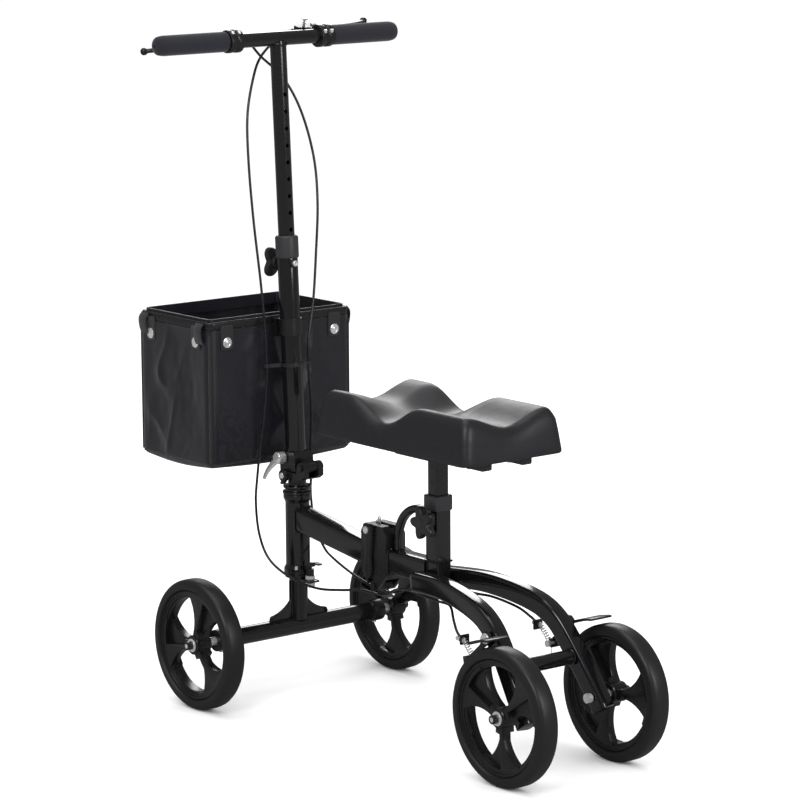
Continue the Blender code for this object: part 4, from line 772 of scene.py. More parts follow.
        cheek = about([(10, -6), (9, 5), (3, 10), (-5, 10), (-10, 6), (-10, -1), (-6, -7), (4, -14), (24, -40),
                       (29, -44), (34, -43), (37, -38), (36, -31), (14, -12)])
        body = "brake_arm_" + word
        self.shop.piece(body + "_skin", plate(cheek, *span(outside, outside + 3.5)), "black_cast", body, [body], 0.7)
        top = [(-6, -2.5), (-6, 2.5), (-24, 8.4), (-44, 12.4), (-49, 12.4), (-49, 9.4), (-44, 9.0), (-24, 4.6)]
        self.shop.piece("brake_shoe_" + word, plate(about(top), *span(outside + 1, REAR_Y + 13)), "black_cast", body,
                        bevel=0.6)
        tail = about([(29, -44), (33.5, -44), (36.5, -31), (32, -31)])
        self.shop.piece("brake_tail_" + word, plate(tail, *span(outside - 6, outside + 16)), "black_cast", body,
                        bevel=0.6)
        pin = [(3, -33), (6.4, -33), (6.4, -29.6), (3.4, -29), (3.4, 2)]
        self.shop.piece("brake_pin_" + word, turned([(r, side * h) for r, h in pin], "Y", centre, 6), "zinc_steel",
                        body)
        nut = [(0.5, -1.6), (8.0, -1.6), (8.0, -0.8), (6.2, -0.6), (6.2, 3.2), (4.2, 4.4), (0.5, 4.4)]
        self.shop.piece("brake_nut_" + word, turned([(r, side * h) for r, h in nut], "Y", centre, 24), "zinc_steel",
                        "brake_arm_" + word)


# ---- wheels -------------------------------------------------------------------------------------
@dataclass(frozen=True)
class WheelSizes:
    """Wheel sizes in millimetres."""

    radius: float = 101.6
    tyre_w: float = 34.0
    rim_r: float = 83.7
    rim_w: float = 27.0
    bore_r: float = 74.0
    hub_r: float = 15.0
    hub_w: float = 28.0
    spoke_w: float = 22.0
    waist: float = 7.0
    flare: float = 32.0
    pocket: float = 9.0


class Wheels:
    """Four moulded three-spoke wheels with solid tyres and socket-head axle bolts."""

    PLACES = {"rl": (0, REAR_Y, 28), "rr": (0, -REAR_Y, 56), "fl": (STEER_X, FRONT_Y, -8),
              "fr": (STEER_X, -FRONT_Y, 20)}

    def __init__(self, shop: Workshop, sizes: WheelSizes) -> None:
        """Take the workshop and the sizes."""
        self.shop, self.s = shop, sizes

    def _half(self, radius: float) -> float:
        """Half the spoke's width at a radius."""
        s = self.s
        return s.waist + s.flare * max(0.0, (radius - s.hub_r) / (s.bore_r + 4 - s.hub_r)) ** 2

    def _spoke(self, start: float, end: float, low: float, high: float, turn: float) -> list[tuple[float, float]]:
        """Outline of one spoke or of the pocket in it.

        Args:
            start: inner radius.
            end: outer radius.
            low: one edge, as a share of the half angle.
            high: the other edge, as a share of the half angle.
            turn: the spoke's angle.

        Returns:
            The outline's points.
        """
        radii = [start + (end - start) * i / 9 for i in range(10)]

        def edge(share: float) -> list[tuple[float, float]]:
            """One edge, at a share of the half angle."""
            angles = [(r, math.asin(min(0.99, self._half(r) / r)) * share + turn) for r in radii]
            return [(r * math.cos(a), r * math.sin(a)) for r, a in angles]

        span = math.asin(self._half(end) / end)
        bow = [turn + span * (high + (low - high) * i / 7) for i in range(1, 7)]
        return edge(high) + [(end * math.cos(t), end * math.sin(t)) for t in bow] + edge(low)[::-1]

    def core(self) -> bpy.types.Mesh:
        """The moulding: rim, hub and three pocketed spokes, with small rounded edges."""
        s = self.s
        half = s.rim_w / 2
        rim = [(s.rim_r, -half), (s.rim_r, half), (s.rim_r - 3.0, half), (s.rim_r - 3.4, half - 2.2),
               (s.rim_r - 6.2, half - 2.4), (s.rim_r - 6.6, half - 4.6), (s.bore_r, 8), (s.bore_r, -8),
               (s.rim_r - 6.6, 4.6 - half), (s.rim_r - 6.2, 2.4 - half), (s.rim_r - 3.4, 2.2 - half),
               (s.rim_r - 3.0, -half)]
        base = bpy.data.objects.new("core", turned(rim, "Y", segments=96, hollow=True))
        bpy.context.scene.collection.objects.link(base)
        cutters = []

        def combine(mesh: bpy.types.Mesh, how: str) -> None:
            """Cut a mesh from the wheel, or join it on."""
            tool = bpy.data.objects.new("tool", mesh)
            bpy.context.scene.collection.objects.link(tool)
            step = base.modifiers.new(how, "BOOLEAN")
            step.operation, step.solver, step.object = how, "EXACT", tool
            cutters.append(tool)

        for k in range(3):
            outline = self._spoke(s.hub_r - 5, s.bore_r + 4, -1, 1, 2 * math.pi * k / 3)
            combine(plate(outline, -s.spoke_w / 2, s.spoke_w / 2), "UNION")
        hub = [(s.hub_r - 1.5, -s.hub_w / 2), (s.hub_r, 1.5 - s.hub_w / 2), (s.hub_r, s.hub_w / 2 - 1.5),
               (s.hub_r - 1.5, s.hub_w / 2)]
        combine(turned(hub, "Y", segments=48), "UNION")
        for k in range(3):
            turn = 2 * math.pi * k / 3
            outer = self._spoke(s.hub_r + 8, s.bore_r + 0.6, -0.06, 1.3, turn)
            inner = self._spoke(s.hub_r + 8, s.bore_r + 0.6, -1.3, 0.06, turn)
            combine(plate(outer, s.spoke_w / 2 - s.pocket, s.spoke_w / 2 + 3), "DIFFERENCE")
            combine(plate(inner, -s.spoke_w / 2 - 3, s.pocket - s.spoke_w / 2), "DIFFERENCE")
        recess = [(11.6, s.hub_w / 2 - 1.6), (11.6, s.hub_w / 2 + 3), (5, s.hub_w / 2 + 3), (5, s.hub_w / 2 - 1.6)]
        combine(turned(recess, "Y", segments=40, hollow=True), "DIFFERENCE")
        edge = base.modifiers.new("edges", "BEVEL")
        edge.width, edge.segments, edge.limit_method = 0.5 * MM, 2, "ANGLE"
        edge.angle_limit = math.radians(40)
        bpy.context.view_layer.update()
        mesh = bpy.data.meshes.new_from_object(base.evaluated_get(bpy.context.evaluated_depsgraph_get()))
        for thing in [base, *cutters]:
            bpy.data.objects.remove(thing, do_unlink=True)
        mesh.shade_smooth()
        mesh.set_sharp_from_angle(angle=math.radians(35))
        return mesh

    def tyre(self) -> bpy.types.Mesh:
        """A solid tyre with a round tread."""
        s = self.s
        half, bed = s.tyre_w / 2, s.rim_r + GAP
        outline = [(bed, 13.0)]
        for i in range(15):
            t = math.pi * i / 14
            r = bed + 2.5 + (s.radius - bed - 2.5) * abs(math.sin(t)) ** 0.62
            y = half * (abs(math.cos(t)) ** 0.5) * (1 if math.cos(t) >= 0 else -1)
            outline.append((r, y))
        outline.append((bed, -13.0))
        outline.append((bed - 0.2, 0))
        return turned(outline, "Y", segments=110, hollow=True)

    def build(self) -> None:
        """Place four wheels with tyres and bolts."""
        core, tyre = self.core(), self.tyre()
        for corner, (x, y, parked) in self.PLACES.items():
            left = y > 0
            turn = -math.radians(parked) if left else math.pi + math.radians(parked)
            face = Matrix.Rotation(0 if left else math.pi, 4, "Z") @ Matrix.Rotation(turn, 4, "Y")
            place = Matrix.Translation(at(x, y, AXLE_Z))
            for mesh, finish, node in ((core, "wheel_plastic", "wheel_"), (tyre, "tyre_rubber", "tyre_")):
                copy = mesh.copy()
                copy.transform(place @ face)
                self.shop.piece(node + corner + "_skin", copy, finish, "wheel_" + corner, [node + corner])
            self._bolt(corner, x, y, 1 if left else -1)

    def _bolt(self, corner: str, x: float, y: float, side: int) -> None:
        """A socket head with a dished round recess, sitting on its washer.

        Args:
            corner: the wheel's two letters.
            x: place of the axle along the model.
            y: place of the wheel across it.
            side: 1 for left and -1 for right.
        """
        face = self.s.hub_w / 2 + GAP
        place = Matrix.Translation(at(x, y, AXLE_Z))
        body = "rear_frame" if corner[0] == "r" else "steering"
        washer = softened([(4, face - 1), (10.5, face - 1), (10.5, face + 0.9), (4, face + 0.9)], 0.4)
        self.shop.piece("washer_" + corner, turned([(r, side * h) for r, h in washer], "Y", place, 40), "zinc_steel",
                        body)
        head = softened([(4, face + 0.9), (6.5, face + 0.9), (6.5, face + 10.2), (3.6, face + 10.2)], 0.6)
        ring = turned([(r, side * h) for r, h in head] + [(3.4, side * (face + 5))], "Y", place, 36)
        self.shop.piece("bolt_head_" + corner, ring, "black_cast", body)


# ---- front end ----------------------------------------------------------------------------------
class FrontEnd:
    """Main beam, head tube, steerer, front axle and the stem fold."""

    def __init__(self, shop: Workshop) -> None:
        """Take the workshop."""
        self.shop = shop

    def build(self) -> None:
        """Build the front frame, steering and fold pieces."""
        shop = self.shop
        place = Matrix.Translation(at(STEER_X, 0, 0))
        head = softened([(17, 301), (14.6, 301), (14.6, 313), (22, 313), (22, 306), (19, 300), (19, 200), (22, 194),
                         (22, 187), (14.6, 187), (14.6, 199), (17, 199)], 0.8)
        shop.piece("head_tube_skin", turned(head, "Z", place, hollow=True), "black_paint", "front_frame",
                   ["head_tube"])
        slope = math.atan2(25, 185)
        start, end = at(STEER_X - 18.2, 0, 273.6), at(438.6, 0, 251.2)
        shop.piece("main_beam_skin", swept(rounded(32, 37, 6.5), [start, end], Vector((0, 1, 0))), "black_paint",
                   "front_frame", ["main_beam"])
        ring = [at(438.2, b, 251 + a) for a, b in rounded(38.5, 33.5, 7, 3)]
        shop.weld("front_clamp_weld", ring, 1.9, "front_frame")
        ring = [at(606.5 - 1.5 * abs(a) / 18 + 2.8 * (abs(b) / 16) ** 2, b, 273.5 + a * math.cos(slope))
                for a, b in rounded(38.5, 33.5, 7, 3)]
        shop.weld("head_weld", ring, 2.0, "front_frame")
        self._latch()
        self._steerer(place)
        self._axle()
        self._fold()

    def _latch(self) -> None:
        """The sculpted lever on the left of the frame clamp, with its cross bolt and eye."""
        shop, x, z, body = self.shop, 417.0, 292.0, "frame_latch"
        grip = [(-12, 6), (-6, 10), (6, 10), (11, 4), (10, -20), (7, -38), (10, -58), (6, -72), (-4, -74), (-9, -60),
                (-8, -40), (-11, -18)]
        loop = [Vector((a, 0, b)) * MM for a, b in grip]
        smooth = curve_through([*loop, loop[0]], 2.5)[:-1]
        rings = []
        for inset, y in ((1.6, 19.4), (0, 20.4), (0, 22.4), (2.2, 25.4), (5.0, 25.9)):
            ring = []
            for point in smooth:
                pull = Vector((0, 0, point.z)) - point
                ring.append(at(x, y, z) + point + pull.normalized() * min(inset * MM, pull.length * 0.8))
            rings.append(ring)
        shop.piece("latch_lever", mesh_of(rings), "black_cast", body, ["frame_latch"])
        bolt = Matrix.Translation(at(x, 0, z))
        shop.piece("latch_bolt", turned([(3, -21), (3, 21)], "Y", bolt, 24), "zinc_steel", body)
        head = softened([(0.5, 25.4), (5.6, 25.4), (5.6, 28), (3.6, 29), (0.5, 29)], 0.5)
        shop.piece("latch_bolt_head", turned(head, "Y", bolt, 28), "zinc_steel", body)
        shop.piece("latch_nut", turned([(3, -19.6), (6, -19.6), (6, -24), (3, -24)], "Y", bolt, 6), "zinc_steel",
                   body, bevel=0.4)
        eye = softened([(2.6, -5), (5.2, -5), (5.2, 5), (2.6, 5)], 0.8)
        shop.piece("latch_eye", turned(eye, "Y", bolt, 28), "chrome", body)
        stud = Matrix.Translation(at(x, 0, z + 4))
        shop.piece("latch_stud", turned([(2.6, 0), (2.6, 12), (2.0, 13)], "Z", stud, 20), "chrome", body)
        shop.piece("latch_stud_nut", turned([(2.6, 4), (5.0, 4), (5.0, 8.4), (2.6, 8.4)], "Z", stud, 6), "chrome",
                   body, bevel=0.4)

    def _steerer(self, place: Matrix) -> None:
        """The steerer with its headset, gussets and lock.

        Args:
            place: the steering axis at the floor.
        """
        shop = self.shop
        tube = [(14.3, 112), (14.3, 179.5), (20.5, 179.7), (20.5, 186.7), (14.3, 186.7), (14.3, 313.3), (23, 313.3),
                (23, 317.3), (19, 318.3), (19, 321.3), (22, 322.3), (22, 326.3), (14.3, 326.3), (14.3, 339.7)]
        shop.piece("steerer_skin", turned(softened(tube, 0.9), "Z", place), "black_paint", "steering",
                   ["steerer_tube"])
        base = AXLE_Z + 14.0
        for side in (1, -1):
            hollow = []
            for i in range(15):
                t = math.radians(197 + 65 * i / 14)
                radius = 176 - 115.9 - 2
                hollow.append((62 + radius * math.cos(t), 180 + radius * math.sin(t)))
            outline = [(12, base), (12, 176), *hollow, (56, base + 3), (56, base - 4)]
            turn = Matrix.Translation(at(STEER_X, 0, 0)) @ Matrix.Rotation(side * math.pi / 2, 4, "Z")
            shop.piece("gusset", plate(outline, -2.5, 2.5, turn), "black_paint", "steering", bevel=0.7)
            for face in (-2.9, 2.9):
                path = [at(STEER_X + face, side * 14.6, z) for z in range(120, 175, 6)]
                shop.piece("gusset_weld", swept(circle(1.4, 8), path), "black_paint", "steering")
        x, z = 592.0, 176.0
        lug = [(x - 11, z), (x - 11, z + 3.5), (612, z + 3.5), (612, z)]
        shop.piece("lock_plate", plate([(a - X_MID, b) for a, b in lug], -10, 10), "black_paint", "steering",
                   bevel=0.5)
        pole = Matrix.Translation(at(x, 0, z))
        for low, high in ((-7, -0.2), (3.7, 10)):
            nut = [(3, low), (7.6, low), (7.6, high), (3, high)]
            shop.piece("lock_nut", turned(softened(nut, 0.7), "Z", pole, 6), "zinc_steel", "steering",
                       bevel=0.4)
        shop.piece("lock_barrel", turned(softened([(3.4, 10), (6.2, 10), (6.2, 21), (3.4, 21)], 0.8), "Z", pole, 32),
                   "black_cast", "steering")

    def _axle(self) -> None:
        """The front axle tube with its end blocks and screws."""
        shop = self.shop
        place = Matrix.Translation(at(STEER_X, 0, AXLE_Z))
        half = 158.0
        tube = [(14, -half + 17), (14, half - 17)]
        shop.piece("axle_tube_skin", turned(tube, "Y", place), "black_paint", "steering", ["front_axle_tube"])
        for side in (1, -1):
            profile = softened([(4.5, half - 4), (17, half - 17), (17, half + 4), (4.5, half + 4)], 1.2)
            profile[0] = (13.8, half - 17.2)
            shop.piece("axle_block", turned([(r, side * h) for r, h in profile], "Y", place, 40), "black_cast",
                       "steering")
            nut = [(4, half + 4.3), (7, half + 4.3), (7, half + 9.5), (4, half + 9.5)]
            shop.piece("axle_nut", turned([(r, side * h) for r, h in nut], "Y", place, 6), "zinc_steel", "steering",
                       bevel=0.4)
            screw = Matrix.Translation(at(STEER_X, side * (half - 7), AXLE_Z - 16))
            shop.piece("block_screw", turned(softened([(0.4, 1), (3.4, 1), (3.4, -3.4), (0.4, -3.4)], 0.8), "Z",
                                             screw, 24), "zinc_steel", "steering")
            ring = [at(STEER_X + 14.6 * math.cos(t), side * (half - 17.3), AXLE_Z + 14.6 * math.sin(t))
                    for t in (math.pi * k / 8 for k in range(16))]
            shop.weld("block_weld", ring, 1.3, "steering")

    def _fold(self) -> None:
        """Quick-release lever with its cam, nut and pivot caps."""
        shop = self.shop
        y = 18.3
        cam = COLUMN @ Matrix.Translation(Vector((8, 0, 31)) * MM)
        profile = softened([(0.6, y + 0.4), (9.5, y + 0.4), (9.5, y + 15), (4.5, y + 15.6), (0.6, y + 15.6)], 2.0)
        shop.piece("fold_cam", turned(profile, "Y", cam, 48), "chrome", "fold_lever", ["fold_lever"])
        spine = [COLUMN @ (Vector(p) * MM) for p in
                 ((8, y + 8, 31), (14, y + 13, 25), (19, y + 20, 16), (22, y + 26, 6), (23, y + 29, -1))]
        path, rings = curve_through(spine, 1.5), []
        for i, point in enumerate(path):
            share = i / (len(path) - 1)
            ahead = (path[min(i + 1, len(path) - 1)] - path[max(i - 1, 0)]).normalized()
            flat = (Vector((1, -0.4, 0.5)) - ahead * ahead.dot(Vector((1, -0.4, 0.5)))).normalized()
            out = ahead.cross(flat)
            rings.append([point + (flat * a + out * b) * MM
                          for a, b in rounded(15 - 8 * share, 5 - 1.6 * share, 1.6, 3)])
        shop.piece("fold_blade", mesh_of(rings), "chrome", "fold_lever", bevel=0.6)
        nut = [(0.6, -y), (7, -y), (7, -y - 6), (0.6, -y - 6)]
        shop.piece("fold_nut", turned(nut, "Y", cam, 6), "zinc_steel", "fold_lever", bevel=0.5)
        hinge = Matrix.Translation(at(589, 0, 359))
        for side in (1, -1):
            cap = softened([(0.5, 19), (5.6, 19), (5.6, 21), (3.4, 22.4), (0.5, 22.4)], 0.6)
            shop.piece("fold_pin_cap", turned([(r, side * h) for r, h in cap], "Y", hinge, 28), "black_cast",
                       "steering")
        rivet = Matrix.Translation(at(628, 22, 343))
        disc = softened([(0.4, -4), (9.5, -4), (9.5, 4), (0.4, 4)], 1.2)
        shop.piece("catch_disc", turned(disc, "Y", rivet, 40), "black_cast", "fold_catch", ["fold_catch"])
        hook = ((-6, -6), (5, -7), (9, -13), (7, -15.5), (2, -14.5), (-3, -11))
        tail = [(628 - X_MID + a, 343 + b) for a, b in hook]
        shop.piece("catch_tail", plate(tail, 18.6, 23.5), "black_cast", "fold_catch", bevel=0.8)
        shop.piece("catch_rivet", turned(softened([(0.4, 4), (5.2, 4), (4.4, 6), (0.4, 6.8)], 0.6), "Y", rivet, 28),
                   "zinc_steel", "fold_catch")


# ---- column, stem and bar -----------------------------------------------------------------------
class Column:
    """Column, sliding stem, handlebar, grips, levers and knobs."""

    def __init__(self, shop: Workshop) -> None:
        """Take the workshop."""
        self.shop = shop

    def build(self) -> None:
        """Build the column, the stem, everything on the bar and both knobs."""
        shop = self.shop
        tube = softened([(13.6, 38), (15.9, 38), (15.9, 352), (13.6, 352)], 0.6)
        shop.piece("column_skin", turned(tube, "Z", COLUMN, 64, True), "black_paint", "column", ["column_tube"])
        bush = softened([(16.2, 342), (17, 342), (18, 344), (18, 374.5), (15.6, 377), (13.2, 377), (13.2, 352.3),
                         (16.2, 352.3)], 0.8)
        shop.piece("bush_skin", turned(bush, "Z", COLUMN, 64, True), "grey_plastic", "column", ["column_bush"])
        lock = COLUMN @ Matrix.Translation(Vector((0, 0, HEIGHT_HOLE_Z)) * MM)
        collar = softened([(0.5, -15.4), (7.4, -15.4), (7.4, -18.2), (0.5, -18.2)], 0.6)
        shop.piece("lock_washer", turned(collar, "X", lock, 36), "black_cast", "column")
        bolt = softened([(0.5, -18), (4.6, -18), (4.6, -21.6), (2.4, -21.9), (2.4, -19.6), (0.5, -19.6)], 0.4)
        shop.piece("lock_bolt", turned(bolt, "X", lock, 30), "zinc_steel", "column")
        self._stem()
        for side, word in ((1, "left"), (-1, "right")):
            self._grip(side, word)
            self._lever(side, word)
        self._knob("column_knob", COLUMN @ Matrix.Translation(Vector((21.9, 0, HEIGHT_HOLE_Z)) * MM)
                   @ Matrix.Rotation(math.pi / 2, 4, "Y") @ Matrix.Rotation(math.radians(35), 4, "Z"),
                   25, 12, 3, 19, 6)
        self._knob("seat_knob", Matrix.Translation(at(SEAT_X, 14.3, 326)) @ Matrix.Rotation(-math.pi / 2, 4, "X"),
                   26, 10, 5, 21, 0.3)

    def _stem(self) -> None:
        """The stem with its row of height holes, and the bar."""
        shop = self.shop
        tube = [(10.9, 190), (12.7, 190), (12.7, 676), (10.9, 676)]
        stem = shop.piece("stem_skin", turned(tube, "Z", COLUMN, 64, True), "black_paint", "")
        drill, holes = [], [HEIGHT_HOLE_Z + k * HEIGHT_STEP for k in range(11)]
        for z in holes:
            mesh = turned([(3.3, -30), (3.3, 0)], "X", COLUMN @ Matrix.Translation(Vector((0, 0, z)) * MM), 24)
            tool = bpy.data.objects.new("drill", mesh)
            bpy.context.scene.collection.objects.link(tool)
            step = stem.modifiers.new("hole", "BOOLEAN")
            step.operation, step.solver, step.object = "DIFFERENCE", "EXACT", tool
            drill.append(tool)
        bpy.context.view_layer.update()
        stem.data = bpy.data.meshes.new_from_object(stem.evaluated_get(bpy.context.evaluated_depsgraph_get()))
        stem.modifiers.clear()
        for tool in drill:
            bpy.data.objects.remove(tool, do_unlink=True)
        stem.data.set_sharp_from_angle(angle=math.radians(38))
        self.shop.paint.coat(stem, "black_paint")
        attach(stem, "stem")
        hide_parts("handlebar")
        bar = COLUMN @ Matrix.Translation(Vector((0, 0, BAR_Z)) * MM)
        wall = [(9.3, -BAR_HALF), (11.1, -BAR_HALF), (11.1, BAR_HALF), (9.3, BAR_HALF)]
        shop.piece("bar_skin", turned(wall, "Y", bar, 56, True), "black_paint", "stem")
        ring = [COLUMN @ (Vector((13.2 * math.cos(t), 13.2 * math.sin(t),
                                  671.5 - 2.52 * math.cos(2 * t))) * MM)
                for t in (math.pi * k / 12 for k in range(24))]
        shop.weld("stem_weld", ring, 1.8, "stem")

    def _grip(self, side: int, word: str) -> None:
        """One foam grip."""
        bar = COLUMN @ Matrix.Translation(Vector((0, 0, BAR_Z)) * MM)
        profile = softened([(11.5, 100.2), (15.0, 100), (15.5, 102), (15.5, 216), (13.8, 225.4), (8, 229.4),
                            (2.2, 230), (1.6, 227)], 3.0, 5)
        self.shop.piece("grip_" + word + "_skin", turned([(r, side * h) for r, h in profile], "Y", bar, 48),
                        "grip_foam", "stem", ["grip_" + word])

    def _lever(self, side: int, word: str) -> None:
        """One brake lever with its perch, screws and adjuster.

        Args:
            side: 1 for left and -1 for right.
            word: left or right.
        """
        shop = self.shop
        turn = Matrix.Rotation(-math.radians(-9.0 if side > 0 else 17.0), 4, "Y")
        frame = COLUMN @ Matrix.Translation(Vector((0, side * 98.5, BAR_Z)) * MM) @ turn

        def spot(x: float, y: float, z: float = 0.0) -> Vector:
            """A point of the lever's own place, mirrored to its side."""
            return frame @ (Vector((x, side * y, z)) * MM)

        reach = ((29, -16), (31, -4), (34, 10), (36, 35), (38, 62), (44, 88), (50, 103), (57, 112))
        spine = [spot(*p) for p in reach]
        path = curve_through(spine, 2.5)
        rings, up = [], (frame.to_3x3() @ Vector((0, 0, 1))).normalized()
        for i, point in enumerate(path):
            ahead = (path[min(i + 1, len(path) - 1)] - path[max(i - 1, 0)]).normalized()
            out = ahead.cross(up).normalized()
            t = i / (len(path) - 1)
            deep = 8.6 - 1.6 * t
            section = rounded(6.4 + 1.5 * math.sin(math.pi * t), deep, 2.6, 3)
            rings.append([point + (up * a + out * b) * MM for a, b in section])
        shop.piece("lever_" + word + "_skin", mesh_of(rings), "black_cast", "brake_lever_" + word,
                   ["brake_lever_" + word])
        ball = frame @ Matrix.Translation(Vector((57, side * 112, 0)) * MM)
        tip = [(0.4, -5.6), (2.6, -5.4), (5.2, -3), (5.7, 0), (5.2, 3), (2.6, 5.4), (0.4, 5.6)]
        shop.piece("lever_tip_" + word, turned(tip, "Z", ball, 28), "black_cast", "brake_lever_" + word)
        ring = softened([(11.4, 0.2), (17.6, 0.2), (17.6, 9), (15.6, 10.5), (15.6, 13.5), (17.6, 15), (17.6, 23.8),
                        (11.4, 23.8)], 1.0)
        shop.piece("lever_clamp_" + word, turned([(r, -side * h) for r, h in ring], "Y", frame, 44, True),
                   "black_cast", "stem")
        for y in (6, 18):
            screw = frame @ Matrix.Translation(Vector((-13, -side * y, 11)) * MM)
            shop.piece("clamp_screw", turned(softened([(0.4, -2), (3, -2), (3, 3), (0.4, 3)], 0.6), "Z", screw, 20),
                       "zinc_steel", "stem")
        pivot = frame @ Matrix.Translation(Vector((31, -side * 9, 0)) * MM)
        for way in (1, -1):
            cap = softened([(0.4, 8), (4.4, 8), (4.4, 10.2), (2.6, 11), (0.4, 11)], 0.5)
            shop.piece("pivot_cap", turned([(r, way * h) for r, h in cap], "Z", pivot, 24), "zinc_steel", "stem")
        barrel = [(0.5, 43), (4.6, 43), (4.6, 50.6), (3.9, 51.4), (3.3, 52), (3.3, 58), (2.6, 60.5), (0.5, 60.5)]
        shop.piece("adjuster_" + word, turned([(r, -side * h) for r, h in barrel], "Y",
                                              frame @ Matrix.Translation(Vector((27.5, 0, 0)) * MM), 24),
                   "black_cast", "stem")

    def _knob(self, node: str, place: Matrix, radius: float, depth: float, lobes: int, height: float,
              stud: float) -> None:
        """A lobed knob on its stud.

        Args:
            node: the frame node that it replaces.
            place: the knob's seat and axis.
            radius: radius over the lobes.
            depth: depth of the hollows between them.
            lobes: how many lobes.
            height: height of the head.
            stud: length of the stud.
        """
        count = lobes * 24
        turns = [2 * math.pi * i / count for i in range(count)]

        def crown(share: float, z: float) -> list[Vector]:
            """One ring of the head, scaled by a share."""
            spread = [radius - depth * (0.5 - 0.5 * math.cos(lobes * t)) for t in turns]
            return [place @ (Vector((share * r * math.cos(t), share * r * math.sin(t), z)) * MM)
                    for r, t in zip(spread, turns)]

        def ring(r: float, z: float) -> list[Vector]:
            """One round ring of the stud or neck."""
            return [place @ (Vector((r * math.cos(t), r * math.sin(t), z)) * MM) for t in turns]

        low = height * 0.42
        rings = [ring(2.9, -stud), ring(2.9, 0), ring(radius * 0.38, 0), ring(radius * 0.42, 0.8),
                 ring(radius * 0.42, low - 0.6), crown(0.88, low), crown(0.97, low + 0.8), crown(1.0, low + 2.6),
                 crown(1.0, height - 4), crown(0.97, height - 1.8), crown(0.88, height - 0.4), crown(0.7, height),
                 crown(0.45, height - 0.6), crown(0.3, height + 0.4), crown(0.05, height + 0.8)]
        self.shop.piece(node + "_skin", mesh_of(rings), "knob_plastic", node, [node])


# ---- seat ---------------------------------------------------------------------------------------
@dataclass(frozen=True)
class PadSizes:
    """Knee pad sizes in millimetres."""

    rear: float = 99.0
    front: float = 454.0
    width: float = 192.0
    low: float = 443.0
    high: float = 511.0
    taper: float = 8.0
    dip: float = 40.0
    saddle_x: float = 306.0


